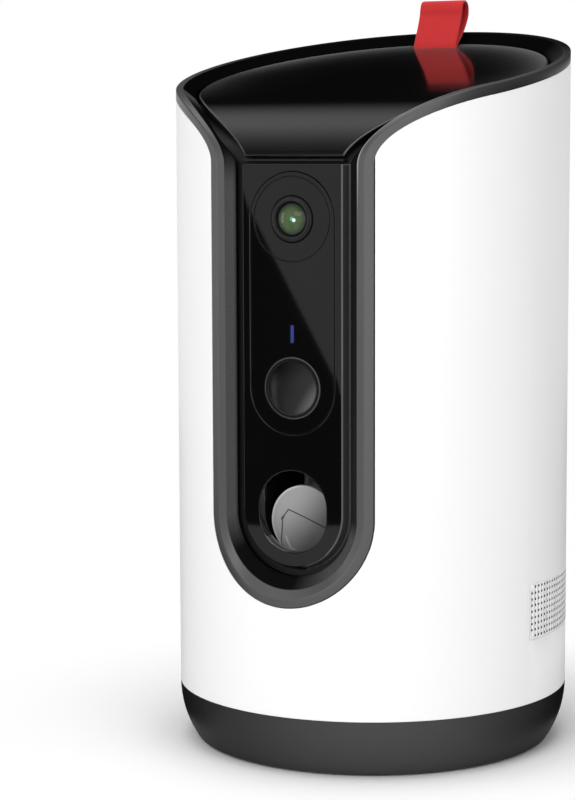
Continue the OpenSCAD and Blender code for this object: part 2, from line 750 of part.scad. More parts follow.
module base_outline(r, z0, over = 0) {
    x = body_r - base_curve;
    translate([0, z0]) square([x, base_h + over - z0]);
    intersection() {
        union() {
            translate([x, base_h]) circle(r = r);
            translate([x, base_h]) square([r, over + 0.001]);
        }
        translate([x, z0]) square([base_curve, base_h + over - z0]);
    }
}

module base_plate() color([0.13, 0.13, 0.14]) difference() {
    disc(plate_r, base_z + 0.4, floor_z);
    for (p = foot_at) post(p[0], p[1], foot_r + seat_gap, -1, foot_t);
    for (p = base_screw_at) {
        post(p[0], p[1], screw_r, -1, floor_z + 1);
        post(p[0], p[1], head_r + seat_gap, -1, floor_z - 0.8);
    }
}

module rubber_feet() color([0.1, 0.1, 0.1])
    for (p = foot_at) post(p[0], p[1], foot_r, 0, foot_t);

module base_screws() color([0.6, 0.6, 0.62])
    for (p = base_screw_at) translate([p[0], p[1], floor_z + 6]) screw_up(6.8);

module chassis_plate() color([0.3, 0.3, 0.32]) difference() {
    union() {
        disc(fit_r - 0.8, chassis_z, chassis_top);
        rotate([0, 0, grille_mid - 90]) difference() {
            translate([speaker_x - 5, -12, chassis_top - 0.5])
                cube([4, 24, grille_z - chassis_top - 3]);
            translate([speaker_x - 8, 0, grille_z]) rotate([0, 90, 0])
                cylinder(r = speaker_r - 1.6 + seat_gap, h = 20);
        }
    }
    for (p = post_at) post(p[0], p[1], screw_r, 0, chassis_top + 1);
    for (p = launch_at) post(p[0], -p[1], screw_r, 0, chassis_top + 1);
    for (p = bracket_at) post(p[0], -p[1], screw_r, 0, chassis_top + 1);
    translate([-9, 16, 0]) cube([18, 12, 100]);
}

module chassis_screws() color([0.6, 0.6, 0.62])
    for (p = post_at) translate([p[0], p[1], chassis_z - 7]) mirror([0, 0, 1])
        screw_up(7 + chassis_t);

module main_board() color([0.08, 0.3, 0.18]) difference() {
    union() {
        translate([0, 0, board_z]) linear_extrude(height = board_t) {
            square([68, 60], center = true);
            translate([-9, 0]) square([18, usb_y - 3]);
        }
        translate([-8, -10, board_z]) cube([14, 14, board_t + 1.6]);
        translate([12, -6, board_z]) cube([11, 16, board_t + 2.4]);
        translate([-27, 2, board_z]) cube([12, 10, board_t + 4.5]);
        for (y = [-22, -14, 16]) translate([-6, y, board_z]) cube([12, 4, board_t + 4]);
    }
    for (p = board_at) post(p[0], p[1], screw_r, 0, 100);
}

module board_screws() color([0.6, 0.6, 0.62])
    for (p = board_at) translate([p[0], p[1], board_z - 6]) mirror([0, 0, 1])
        screw_up(6 + board_t);

module usb_inlet() color([0.7, 0.7, 0.72]) difference() {
    translate([0, usb_y, usb_z]) rotate([90, 0, 0]) linear_extrude(height = usb_len)
        socket_outline(usb_w, usb_h);
    translate([0, usb_y + 1, usb_z]) rotate([90, 0, 0]) linear_extrude(height = usb_len - 0.4)
        difference() {
            socket_outline(usb_w - 0.6, usb_h - 0.6);
            square([usb_w - 2.4, 0.7], center = true);
        }
}

module reset_button() color([0.3, 0.3, 0.32])
    translate([0, body_r + 0.2, button_z]) rotate([90, 0, 0]) {
        cylinder(r = button_r, h = shell_wall + 1.4);
        translate([0, 0, shell_wall + 0.6]) cylinder(r = button_r + 1.2, h = 1.2);
    }

module reset_switch() color([0.15, 0.15, 0.17]) {
    back = body_r - shell_wall - 1.6 - 0.1 - button_travel;
    translate([-3, back - 4.4, button_z - 3]) cube([6, 3.4, 6]);
    translate([0, back, button_z]) rotate([90, 0, 0]) cylinder(r = 1.6, h = 1, $fn = 32);
    translate([-7, back - 5.6, chassis_top]) cube([14, 1.2, button_z + 5 - chassis_top]);
}

module speaker() color([0.12, 0.12, 0.13]) rotate([0, 0, grille_mid - 90])
    translate([speaker_x, 0, grille_z]) rotate([0, 90, 0]) difference() {
        union() {
            cylinder(r = speaker_r, h = 1.6);
            translate([0, 0, -5]) cylinder(r1 = speaker_r - 5, r2 = speaker_r - 1.6, h = 5.001);
            translate([0, 0, -8]) cylinder(r = speaker_r - 4, h = 3.2);
        }
        translate([0, 0, -2.4]) cylinder(r1 = 3, r2 = speaker_r - 1.4, h = 4.1);
    }

module hopper() color([0.75, 0.75, 0.78, 0.7]) difference() {
    union() {
        intersection() {
            translate([0, hopper_y, 0]) rotate_extrude() polygon([
                [rotor_r, house_top], [house_ri + 4.9, house_top],
                [house_ri + 4.9, house_top + throat_h], [hopper_ro, cone_top],
                [hopper_ro, rim_z + 20], [hopper_r, rim_z + 20], [hopper_r, cone_top],
                [house_ri + 0.4, house_top + throat_h], [rotor_r, house_top + throat_h]]);
            below(frame_curve, floor_drop);
        }
        difference() {
            intersection() {
                tube(hopper_ro + hopper_flange + 1, hopper_r, bend_z, rim_z + 20, hopper_y);
                disc(fit_r - 1, bend_z, rim_z + 20);
                below(frame_under(frame_t), floor_drop + frame_t);
            }
            below(frame_under(frame_t + 2.5), floor_drop + frame_t + 2.5);
        }
        housing_lugs(house_top, house_top + throat_h);
    }
    lug_places() translate([0, 0, house_top - 1]) cylinder(r = screw_r, h = 9, $fn = 32);
    hopper_screw_places() translate([0, 0, -9]) cylinder(r = screw_r, h = 12, $fn = 32);
}

// Places of the screws that hold the hopper, square to the sloping frame
module hopper_screw_places()
    for (a = [40, 140, 220, 320]) {
        r = hopper_ro + 3.4;
        x = r * cos(a);
        y = hopper_y + r * sin(a);
        translate([x, y, plane_z(-y, floor_drop)]) rotate([atan(rim_slope), 0, 0]) children();
    }

module hopper_screws() color([0.6, 0.6, 0.62])
    hopper_screw_places() screw_up(frame_t + 2.6);

module lug_places()
    for (a = [0, 180, 270]) translate([0, hopper_y, 0]) rotate([0, 0, a])
        translate([lug_at, 0, 0]) children();

module housing_lugs(z0, z1)
    difference() {
        lug_places() translate([0, 0, z0]) cylinder(r = 3.6, h = z1 - z0);
        disc(house_ri + 1, z0 - 1, z1 + 1, hopper_y);
    }

module housing_screws() color([0.6, 0.6, 0.62])
    lug_places() translate([0, 0, house_top + throat_h]) screw_up(throat_h + 2.5);

module throat_guard() color([0.85, 0.85, 0.86]) intersection() {
    disc(house_ri + 0.2, house_top + throat_h, house_top + throat_h + 1.4, hopper_y);
    translate([-50, hopper_y - 50 - 3, 0]) cube([100, 50, 300]);
}

module rotor_housing() color([0.82, 0.82, 0.84]) difference() {
    union() {
        disc(house_ro, rotor_floor_z - house_t, rotor_floor_z, hopper_y);
        tube(house_ro, house_ri, rotor_floor_z - 0.5, house_top, hopper_y);
        housing_lugs(house_top - 2.5, house_top);
        disc(motor_r + 1, rotor_floor_z - house_t, rotor_floor_z, pinion_y);
        disc(pin_r, rotor_floor_z - 1, rotor_z + rotor_h - 0.5, hopper_y);
    }
    disc(rotor_module * pinion_teeth / 2 + 2, rotor_floor_z, rotor_z + gear_h + 1, pinion_y);
    disc(motor_shaft_r + run_gap, 0, tall, pinion_y);
    post(0, -outlet_f, outlet_r, 0, rotor_floor_z + 1);
    lug_places() translate([0, 0, house_top - 9]) cylinder(r = screw_r, h = 20, $fn = 32);
}

module metering_rotor() color([0.95, 0.6, 0.25]) translate([0, hopper_y, rotor_z]) difference() {
    union() {
        rotate([0, 0, 90]) linear_extrude(height = gear_h)
            gear_outline(rotor_teeth, rotor_module);
        cylinder(r = rotor_r, h = rotor_h);
    }
    translate([0, 0, -1]) cylinder(r = pin_r + run_gap, h = rotor_h + 2);
    for (i = [0:pockets - 1]) rotate([0, 0, 270 + i * 360 / pockets])
        translate([pocket_at, 0, -1]) cylinder(r = pocket_r, h = rotor_h + 2);
}

module rotor_pinion() color([0.9, 0.9, 0.85]) translate([0, pinion_y, rotor_z]) difference() {
    rotate([0, 0, 270 + 180 / pinion_teeth]) linear_extrude(height = gear_h)
        gear_outline(pinion_teeth, rotor_module);
    translate([0, 0, -1]) cylinder(r = motor_shaft_r, h = gear_h + 2);
}

module rotor_motor_shaft() color([0.7, 0.7, 0.72])
    disc(motor_shaft_r, rotor_floor_z - house_t - 12, rotor_z + gear_h, pinion_y);

module rotor_motor() color([0.6, 0.6, 0.63]) difference() {
    z1 = rotor_floor_z - house_t;
    union() {
        disc(motor_r, z1 - motor_len, z1, pinion_y);
        disc(3, z1 - motor_len - 1.6, z1, pinion_y);
    }
    disc(motor_shaft_r + run_gap, z1 - 12.3, z1 + 1, pinion_y);
}

module treat_chute() color([0.85, 0.85, 0.87]) {
    top = rotor_floor_z - house_t;
    a = outlet_f - outlet_r - 0.4;
    b = outlet_f + outlet_r + 0.4;
    end = launch_back + 2;
    low = launch_back_z + 0.1;
    fall = 0.545;
    xi = outlet_r + 0.4;
    t = 1.6;
    difference() {
        across(2 * (xi + t)) polygon([[a - t, top], [a - t, low + fall * (end - a + t)],
            [end, low], [end, low + 16.5], [b + t, low + 24], [b + t, top]]);
        across(2 * xi) polygon([[a, top + 1], [a, low + t * 1.2 + fall * (end - a)],
            [end + 1, low + t * 1.2 - fall], [end + 1, low + 14.6], [b, low + 23], [b, top + 1]]);
    }
}

module launcher_housing() color([0.8, 0.8, 0.82]) difference() {
    union() {
        difference() {
            translate([-launch_xo, -seat_f + frame_t, launch_floor - wall_t])
                cube([2 * launch_xo, seat_f - frame_t - launch_back + wall_t,
                    launch_top - launch_floor + wall_t]);
            translate([-launch_x, -seat_f, launch_floor])
                cube([2 * launch_x, seat_f - launch_back, 100]);
            translate([-launch_xo - 1, -launch_back - 0.01, launch_back_z])
                cube([2 * launch_xo + 2, 20, 100]);
        }
        for (p = launch_at) post(p[0], -p[1], 3.2, chassis_top, launch_floor - 0.5);
    }
    translate([-30, -shaft_f, shaft_z]) rotate([0, 90, 0])
        cylinder(r = shaft_r + run_gap, h = 60);
    for (p = launch_at) post(p[0], -p[1], screw_r, chassis_top - 1, chassis_top + 9);
}

module launcher_screws() color([0.6, 0.6, 0.62]) {
    for (p = launch_at) translate([p[0], -p[1], chassis_top + 8]) screw_up(8 + chassis_t);
    for (p = bracket_at) translate([p[0], -p[1], chassis_top + 2]) screw_up(2 + chassis_t);
}

module toss_paddle() color([0.72, 0.73, 0.75]) difference() {
    union() {
        front_hole(paddle_r, paddle_z, paddle_f - paddle_t, paddle_f);
        for (x = [-7, 4.6]) translate([x, 0, 0]) rotate([90, 0, -90])
            mirror([0, 0, 1]) linear_extrude(height = 2.4) polygon([
                [shaft_f - 1, shaft_z + 2], [shaft_f + 2, shaft_z - 2],
                [paddle_f - paddle_t + 0.5, paddle_z - paddle_r + 3],
                [paddle_f - paddle_t + 0.5, paddle_z + 5]]);
        translate([-launch_x + 0.3, -shaft_f, shaft_z]) rotate([0, 90, 0])
            cylinder(r = 4, h = 2 * launch_x - 0.6);
    }
    translate([0, -paddle_f - dish_r + 1.2, paddle_z]) sphere(r = dish_r);
    translate([-30, -shaft_f, shaft_z]) rotate([0, 90, 0]) cylinder(r = shaft_r, h = 60);
}

module paddle_shaft() color([0.7, 0.7, 0.72])
    translate([-launch_xo - 5, -shaft_f, shaft_z]) rotate([0, 90, 0])
        cylinder(r = shaft_r, h = launch_xo * 2 + 5.5 + gear_w);

module paddle_gear() color([0.9, 0.9, 0.85]) translate([gear_x, -shaft_f, shaft_z])
    rotate([0, 90, 0]) difference() {
        union() {
            intersection() {
                linear_extrude(height = gear_w) rotate([0, 0, 90])
                    gear_outline(paddle_teeth, launch_module);
                linear_extrude(height = gear_w)
                    polygon([[0, -3], [14, 2], [14, 20], [-14, 20], [-14, 2], [0, -3]]);
            }
            cylinder(r = 6, h = gear_w);
        }
        translate([0, 0, -1]) cylinder(r = shaft_r, h = gear_w + 2);
    }

module paddle_spring() color([0.7, 0.7, 0.72])
    translate([-launch_xo - 4.2, -shaft_f, shaft_z]) rotate([0, 90, 0]) difference() {
        cylinder(r = shaft_r + 1.4, h = 4.2);
        translate([0, 0, -1]) cylinder(r = shaft_r + 0.5, h = 7);
    }

module launch_pinion() color([0.9, 0.9, 0.85]) translate([gear_x, -launch_pinion_f, shaft_z])
    rotate([0, 90, 0]) difference() {
        rotate([0, 0, 270 + 180 / launch_teeth]) linear_extrude(height = gear_w)
            gear_outline(launch_teeth, launch_module);
        translate([0, 0, -1]) cylinder(r = motor_shaft_r, h = gear_w + 2);
    }

module launch_motor_shaft() color([0.7, 0.7, 0.72])
    translate([gear_x, -launch_pinion_f, shaft_z]) rotate([0, 90, 0])
        cylinder(r = motor_shaft_r, h = gear_w + 12);

module launch_motor() color([0.6, 0.6, 0.63])
    translate([bracket_x + bracket_t, -launch_pinion_f, shaft_z]) rotate([0, 90, 0])
        difference() {
            cylinder(r = launch_motor_r, h = launch_motor_len);
            translate([0, 0, -1]) cylinder(r = motor_shaft_r + run_gap, h = 11.8);
        }

module launch_motor_bracket() color([0.55, 0.55, 0.58]) difference() {
    union() {
        translate([bracket_x, -launch_pinion_f - 9.5, chassis_top])
            cube([bracket_t, 19, shaft_z + 9 - chassis_top]);
        translate([bracket_x, -launch_pinion_f - 9.5, chassis_top]) cube([24, 19, 2]);
    }
    translate([bracket_x - 1, -launch_pinion_f, shaft_z]) rotate([0, 90, 0])
        cylinder(r = motor_shaft_r + 0.6, h = 10);
    for (p = bracket_at) post(p[0], -p[1], screw_r, chassis_top - 1, chassis_top + 5);
}

outer_shell();
collar();
inner_frame();
front_panel();
sensor_window();
lens_ring();
lens_glass();
camera_module();
status_light_pipe();
status_light_board();
motion_sensor_ring();
motion_sensor_dome();
motion_sensor();
lid();
lid_gasket();
lid_pull_tab();
base();
base_plate();
rubber_feet();
base_screws();
speaker_grille();
speaker();
usb_inlet();
reset_button();
reset_switch();
hopper();
hopper_screws();
throat_guard();
rotor_housing();
housing_screws();
metering_rotor();
rotor_pinion();
rotor_motor_shaft();
rotor_motor();
treat_chute();
launcher_housing();
launcher_screws();
toss_paddle();
paddle_shaft();
paddle_gear();
paddle_spring();
launch_pinion();
launch_motor_shaft();
launch_motor();
launch_motor_bracket();
chassis_plate();
chassis_screws();
main_board();
board_screws();
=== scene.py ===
from math import acos, atan2, cos, degrees, hypot, pi, radians, sin, sqrt

import bmesh
import bpy
from mathutils import Matrix, Vector


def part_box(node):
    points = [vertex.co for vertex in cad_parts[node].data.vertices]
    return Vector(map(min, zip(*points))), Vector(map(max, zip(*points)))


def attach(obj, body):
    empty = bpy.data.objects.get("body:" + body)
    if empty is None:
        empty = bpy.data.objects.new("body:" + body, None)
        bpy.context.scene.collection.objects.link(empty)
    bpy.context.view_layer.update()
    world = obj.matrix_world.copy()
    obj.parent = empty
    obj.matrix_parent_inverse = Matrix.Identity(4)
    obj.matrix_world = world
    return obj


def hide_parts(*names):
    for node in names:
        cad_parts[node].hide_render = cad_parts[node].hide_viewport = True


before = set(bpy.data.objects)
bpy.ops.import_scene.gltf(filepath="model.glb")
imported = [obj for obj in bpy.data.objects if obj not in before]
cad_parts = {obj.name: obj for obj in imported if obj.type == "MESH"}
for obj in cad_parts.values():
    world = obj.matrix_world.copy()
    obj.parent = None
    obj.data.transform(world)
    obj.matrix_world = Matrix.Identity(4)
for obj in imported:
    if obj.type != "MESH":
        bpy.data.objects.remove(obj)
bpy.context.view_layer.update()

bl_info = {
    "name": "Treat tossing pet camera",
    "version": (1, 0, 0),
    "blender": (4, 5, 0),
    "location": "3D View > Sidebar > Pet Camera",
    "description": "Dresses the packed solids of a treat tossing pet camera, piece by piece",
    "category": "Object",
}

MM = 0.001


def low(node):
    """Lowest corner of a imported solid."""
    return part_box(node)[0]


def high(node):
    """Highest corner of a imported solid."""
    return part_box(node)[1]


def grey(value):
    """Linear colour of a neutral grey, as the screen shows it from 0 to 255."""
    return tint(value, value, value)


def tint(red, green, blue):
    """Linear colour of a screen colour from 0 to 255."""
    return tuple((c / 255 / 12.92 if c < 10.3 else ((c / 255 + 0.055) / 1.055) ** 2.4)
                 for c in (red, green, blue))


def clamp(value):
    return min(1.0, max(0.0, value))


def radial(a, b):
    """Distance from the origin, of two numbers or of two shader values."""
    return (a ** 2 + b ** 2) ** 0.5


def number(name, description, default, **more):
    return bpy.props.FloatProperty(
        name=name, description=description, default=default, **more)


def length(name, description, default):
    return number(name, description, default, unit="LENGTH", precision=5)


def angle(name, description, default):
    return number(name, description, radians(default), subtype="ANGLE")


def colour(name, description, default):
    return bpy.props.FloatVectorProperty(
        name=name, description=description, default=default, subtype="COLOR", min=0, max=1)


class PetCameraSizes(bpy.types.PropertyGroup):
    """Sizes that the dressed pieces share. Forward is towards the front of the tower."""

    body_radius: length("Body radius", "Outer radius of the tower", high("outer_shell").x)
    rim_height: length("Rim height", "Height of the rim over the tower's axis", 223.4 * MM)
    rim_slope: number("Rim slope", "Fall of the rim for its run forward", 0.2276, precision=4)
    bend_forward: length("Bend start", "Distance forward where the rim curves down", 33 * MM)
    bend_height: length("Bend end", "Height where the channel becomes upright", 191 * MM)
    band_height: length("Band height", "Collar band above the white shell", 3.4 * MM)
    land_width: length("Land width", "Width of the collar's flat rim", 2.2 * MM)
    land_dip: length("Land dip", "Depth of the rim at the channel's bottom", 1 * MM)
    seam: length("Seam", "Width and depth of the seam round the shell's opening", 0.28 * MM)
    slope_width: length("Wall width", "Width of the collar's sloping wall", 4.3 * MM)
    slope_depth: length("Wall depth", "Depth of the collar's sloping wall", 3.6 * MM)
    floor_drop: length("Recess depth", "Depth of the floor under the lid", 8 * MM)
    channel_half: length("Channel half width", "At the shell's opening", 28.5 * MM)
    channel_low: length("Channel bottom", "Lowest point of the opening", 53.6 * MM)
    mouth_half: length("Mouth half width", "At the inner edge of the rim", 23.1 * MM)
    foot_half: length("Foot half width", "At the foot of the sloping wall", 20.2 * MM)
    land_forward: length("Land forward", "Distance forward of the flat rim", 59.75 * MM)
    lid_drop: length("Lid drop", "Depth of the lid's face under the rim", 2.9 * MM)
    lid_radius: length("Lid radius", "Radius of the lid's round part", 57.5 * MM)
    lid_turn: angle("Lid turn", "Turn from the front where the lid leaves its round", 51)
    lid_bend: length("Lid bend", "Distance forward where the lid curves down", 30 * MM)
    lid_bend_end: length("Lid bend end", "Distance forward of the curve's corner", 54.5 * MM)
    lid_front: length("Lid front", "Distance forward of the lid's lower edge", 57 * MM)
    lid_half: length("Lid half width", "At the lid's lower edge", 17.2 * MM)
    lid_low: length("Lid low", "Height of the lid's lower edge", 193.7 * MM)
    edge_round: length("Edge rounding", "Radius of the collar's edges", 0.32 * MM)
    tab_width: length("Tab width", "Width of the pull tab's webbing", 16.2 * MM)
    tab_thick: length("Tab thickness", "Thickness of the pull tab's webbing", 0.8 * MM)
    grille_gap: length(
        "Grille gap", "Play of the grille in its window, closed in the scene", 0.2 * MM)
    dome_height: length("Dome height", "Height of the motion sensor's dome", 2.6 * MM)


class PetCameraColours(bpy.types.PropertyGroup):
    """Colours of the finishes, as linear values."""

    shell: colour("Shell", "White moulded shell", grey(242))
    collar: colour("Collar", "Grey collar band and rim", grey(34))
    collar_wall: colour("Collar wall", "Grained wall of the collar", grey(71))
    base: colour("Base", "Dark grey base", grey(68))
    gloss: colour("Gloss black", "Lid and front panel", grey(9))
    satin: colour("Satin black", "Sensor ring and dome", grey(14))
    matte: colour("Matte black", "Inner frame", grey(18))
    webbing: colour("Webbing", "Red pull tab", tint(206, 26, 30))
    lens: colour("Lens", "Coated glass of the camera", tint(72, 86, 56))
    light: colour("Status light", "Blue light pipe", tint(52, 66, 168))
    paddle: colour("Paddle", "Grey toss paddle", grey(158))
    rotor: colour("Rotor", "Orange metering rotor", tint(224, 128, 48))
    backdrop: colour("Backdrop", "Floor and world", grey(255))


class PetCameraStage(bpy.types.PropertyGroup):
    """The camera and the light of the studio."""

    target_height: length("Target height", "Height that the camera aims at", 115.95 * MM)
    distance: length("Distance", "From the camera to its target", 731.7 * MM)
    azimuth: angle("Azimuth", "Turn of the camera to the right of the front", 25.56)
    elevation: angle("Elevation", "Height of the camera as an angle", 5.92)
    roll: angle("Roll", "Turn of the camera about its axis", 0.03)
    focal: number("Focal length", "In millimetres, on a 36 mm frame", 98.15)
    shift_x: number("Shift X", "Sideways shift of the frame", -0.107)
    shift_y: number("Shift Y", "Upward shift of the frame", -0.0122)
    flag_gap: length("Panel flag", "Distance of the black card before the panel", 0.25)
    flag_radius: length("Rear flag radius", "Radius of the rear card", 0.55)
    flag_height: length("Rear flag height", "Height of the rear card", 0.85)
    arch_radius: length("Arch radius", "Radius of the soft arch overhead", 0.45)
    arch_height: length("Arch height", "Height of the arch's axis", 0.205)
    ambient: number("Ambient", "Strength of the world's soft light", 0.45)


def sizes():
    return bpy.context.scene.pet_camera_sizes


def colours():
    return bpy.context.scene.pet_camera_colours


# Shader maths -----------------------------------------------------------------------------


def maths(operation, swapped=False):
    """An operator of Value, which adds a Math node."""
    def method(self, other=0.0):
        first, second = (other, self) if swapped else (self, other)
        return self.recipe.node(
            "ShaderNodeMath", {"operation": operation}, {0: first, 1: second})
    return method


class Value:
    """A shader value: Python's operators on it add Math nodes."""

    def __init__(self, recipe, socket):
        self.recipe = recipe
        self.socket = socket

    __add__ = __radd__ = maths("ADD")
    __sub__, __rsub__ = maths("SUBTRACT"), maths("SUBTRACT", swapped=True)
    __mul__ = __rmul__ = maths("MULTIPLY")
    __truediv__ = maths("DIVIDE")
    __pow__ = maths("POWER")
    __gt__, __lt__ = maths("GREATER_THAN"), maths("LESS_THAN")
    most, least = maths("MAXIMUM"), maths("MINIMUM")
    wave, exponent = maths("SINE"), maths("EXPONENT")

    def decay(self, rate):
        """1 where the value is 0, fading away as it grows."""
        return (self * -rate).exponent()

    def step(self, start, end):
        """0 below start and 1 above end, smooth between them."""
        return self.recipe.node(
            "ShaderNodeMapRange", {"interpolation_type": "SMOOTHSTEP"},
            {"Value": self, "From Min": start, "From Max": end})


class Nodes:
    """A node tree, with the nodes that finishes and the world are made of."""

    def __init__(self, tree):
        self.tree = tree

    def join(self, socket, value):
        if isinstance(value, Value):
            self.tree.links.new(value.socket, socket)
        else:
            socket.default_value = value

    def node(self, kind, settings=None, inputs=None, output=0):
        """Adds a node: its settings are set first, and then its values and links."""
        node = self.tree.nodes.new(kind)
        for name, value in (settings or {}).items():
            setattr(node, name, value)
        for name, value in (inputs or {}).items():
            self.join(node.inputs[name], value)
        return Value(self, node.outputs[output])

    def place(self):
        return self.node("ShaderNodeTexCoord", output="Object")

    def attribute(self, name):
        return self.node("ShaderNodeAttribute", {"attribute_name": name}, output="Fac")

    def parts(self, vector):
        """The three numbers of a vector."""
        node = self.tree.nodes.new("ShaderNodeSeparateXYZ")
        self.tree.links.new(vector.socket, node.inputs[0])
        return [Value(self, node.outputs[i]) for i in range(3)]

    def noise(self, scale, detail=2.0, roughness=0.5):
        return self.node("ShaderNodeTexNoise", {}, {
            "Vector": self.place(), "Scale": scale, "Detail": detail,
            "Roughness": roughness})

    def cells(self, scale):
        return self.node("ShaderNodeTexVoronoi", {}, {"Vector": self.place(), "Scale": scale})

    def mix(self, factor, first, second):
        """Colour between two colours."""
        ends = [c if isinstance(c, Value) else (*tuple(c)[:3], 1) for c in (first, second)]
        return self.node(
            "ShaderNodeMix", {"data_type": "RGBA", "clamp_factor": True},
            {0: factor, 6: ends[0], 7: ends[1]}, output=2)

    def rays(self):
        """1 for rays that show or mirror what they meet, and 0 for those that light it."""
        seen, mirrored, through = [
            self.node("ShaderNodeLightPath", output=f"Is {kind} Ray")
            for kind in ("Camera", "Glossy", "Transmission")]
        return seen.most(mirrored).most(through)


class Recipe(Nodes):
    """One finish: a material with its Principled surface."""

    def __init__(self, name, base_color, roughness, specular=0.5, plain=None):
        self.material = bpy.data.materials.new(name)
        self.material.use_nodes = True
        super().__init__(self.material.node_tree)
        self.surface = self.tree.nodes["Principled BSDF"]
        self.material.diffuse_color = (*base_color[:3], 1)
        self.colour = tuple(base_color[:3])
        self.put({"Base Color": (*self.colour, 1), "Roughness": roughness,
                  "Specular IOR Level": specular})
        self.put(plain or {})

    def put(self, sockets):
        """Values or links for the surface's sockets."""
        for name, value in sockets.items():
            self.join(self.surface.inputs[name], value)

    def around(self, node):
        """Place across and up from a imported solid's middle, and its distance, in mm."""
        middle = (low(node) + high(node)) / 2
        x, _, z = self.parts(self.place())
        x, z = (x - middle.x) / MM, (z - middle.z) / MM
        return x, z, radial(x, z)

    def shade(self, factor):
        """The finish's own colour, made lighter or darker by a factor."""
        return self.node(
            "ShaderNodeMix", {"data_type": "RGBA", "blend_type": "MULTIPLY"},
            {0: 1.0, 6: (*self.colour, 1), 7: self.node(
                "ShaderNodeCombineColor", {}, {0: factor, 1: factor, 2: factor})}, output=2)

    def bump(self, height, distance, strength=1.0):
        normal = self.node("ShaderNodeBump", {}, {
            "Height": height, "Distance": distance, "Strength": strength})
        self.put({"Normal": normal})
        return normal

    def over(self, factor, shader):
        """Lays another shader over the surface where a factor is 1."""
        surface = Value(self, self.surface.outputs[0])
        blend = self.node("ShaderNodeMixShader", {}, {0: factor, 1: surface, 2: shader})
        self.join(self.tree.nodes["Material Output"].inputs["Surface"], blend)


def moulded(name, base_color, roughness, grain, depth, uneven, specular=0.5):
    """Moulded plastic: a spark-eroded grain, with faint flow marks in colour and gloss."""
    if isinstance(base_color, str):
        base_color = getattr(colours(), base_color)
    finish = Recipe(name, base_color, roughness, specular)
    flow = finish.noise(22, 3)
    fine = finish.noise(1000 / grain, 3, 0.6)
    finish.put({
        "Base Color": finish.shade(1 - uneven / 2 + uneven * flow),
        "Roughness": (roughness - 0.05) + 0.06 * flow + 0.05 * fine,
    })
    finish.bump(fine, depth * MM)
    return finish


# Finishes ---------------------------------------------------------------------------------

# Plain moulded finishes: name, colour or the name of one, roughness, grain in mm, depth of
# the grain in mm, unevenness of the colour, specular level
MOULDED = {
    "white_shell": ("Shell white", "shell", 0.42, 0.35, 0.004, 0.02, 0.18),
    "matte_black": ("Frame black", "matte", 0.55, 0.35, 0.02, 0.15, 0.25),
    "satin_black": ("Sensor black", "satin", 0.3, 0.2, 0.002, 0.1, 0.4),
    "port_black": ("Port black", grey(16), 0.5, 0.4, 0.012, 0.12, 0.2),
    "rubber_black": ("Rubber", grey(38), 0.8, 0.6, 0.03, 0.2, 0.2),
    "gasket_grey": ("Gasket rubber", grey(62), 0.75, 0.5, 0.015, 0.12, 0.25),
    "natural_plastic": ("Natural plastic", grey(206), 0.5, 0.5, 0.012, 0.08),
    "rotor_orange": ("Rotor orange", "rotor", 0.45, 0.4, 0.008, 0.12),
    "acetal": ("Acetal gear", grey(226), 0.38, 0.3, 0.004, 0.06),
    "speaker_black": ("Speaker cone", grey(34), 0.7, 1.1, 0.05, 0.3),
}


def satin_grey():
    """Collar: satin band and rim, grained wall; painted shade on the wall, the rim's back and
    the seam, and a painted highlight on the rim's inner edge.
    """
    c = colours()
    finish = Recipe("Collar grey", c.collar, 0.4, 1.0)
    wall = finish.attribute("wall")
    _, y, z = finish.parts(finish.place())
    # painted shade: the wall darkens where it swoops from the channel to the round rim
    up, back = (184, 197), (-48, -36)  # where the wall swoops into shade, in mm
    swoosh_shade = wall * (z / MM).step(*up) * (1 - (y / MM).step(*back))
    shade = finish.attribute("shade").most(swoosh_shade * 0.96)
    # painted highlight: a pale line along the rim's inner edge, drawn grey(150)
    glint = finish.attribute("glint").step(0.75, 0.95)
    flow = finish.noise(30, 3)
    fine = finish.noise(2600, 2)
    pores = finish.cells(1500)
    ridges = finish.noise(900, 4, 0.65)
    finish.put({
        # grey(4) and grey(6) are painted shade, from the shade attribute and the swoop
        "Base Color": finish.mix(
            glint, finish.mix(shade, finish.shade(0.94 + 0.12 * flow), grey(4)), grey(150)),
        "Roughness": 0.37 + 0.05 * flow + 0.04 * fine + 0.4 * shade,
    })
    normal = finish.bump(fine * 0.25 + wall * (ridges * 1.6 + pores * 0.8), 0.05 * MM)
    body = finish.mix((pores < 0.22) * 0.5, c.collar_wall, grey(40))
    grained = finish.node("ShaderNodeBsdfPrincipled", {}, {
        "Base Color": finish.mix(glint, finish.mix(shade, body, grey(6)), grey(150)),
        "Roughness": 0.5 + 0.14 * ridges,
        "Specular IOR Level": 0.0,
        "Normal": normal,
    })
    # where painted shade lies, the grained surface without specular covers the satin
    finish.over(wall.most(shade), grained)
    return finish


def base_grey():
    """Base: a grained grey with painted shade, darker away from its best-lit side, right of
    the front.
    """
    finish = Recipe("Base grey", colours().base, 0.5, 0.08)
    x, y, _ = finish.parts(finish.place())
    # painted light: the base is drawn lightest towards this turn and darker round its sides
    # and back
    turn = radians(29)  # the best lit side, right of the front
    front = (x * sin(turn) - y * cos(turn)) / sizes().body_radius
    grain = finish.noise(2200, 3)
    flow = finish.noise(30, 3)
    light = 0.1 + 0.9 * front.most(0.0) ** 2.4
    finish.put({
        "Base Color": finish.shade(light * (0.95 + 0.1 * flow)),
        "Roughness": 0.46 + 0.1 * grain,
    })
    finish.bump(grain, 0.012 * MM)
    return finish


def polished(name, haziness):
    """Polished black and its colour: a faint ripple, and a dust-fine haze in its gloss."""
    finish = Recipe(name, colours().gloss, haziness, 0.3)
    haze = finish.noise(60, 4, 0.6)
    dust = finish.noise(3200, 2)
    body = finish.shade(0.9 + 0.2 * haze)
    finish.put({
        "Base Color": body,
        "Roughness": haziness * (0.75 + 0.4 * haze + 0.1 * dust),
    })
    finish.bump(finish.noise(14, 1), 0.02 * MM, 0.1)
    return finish, body


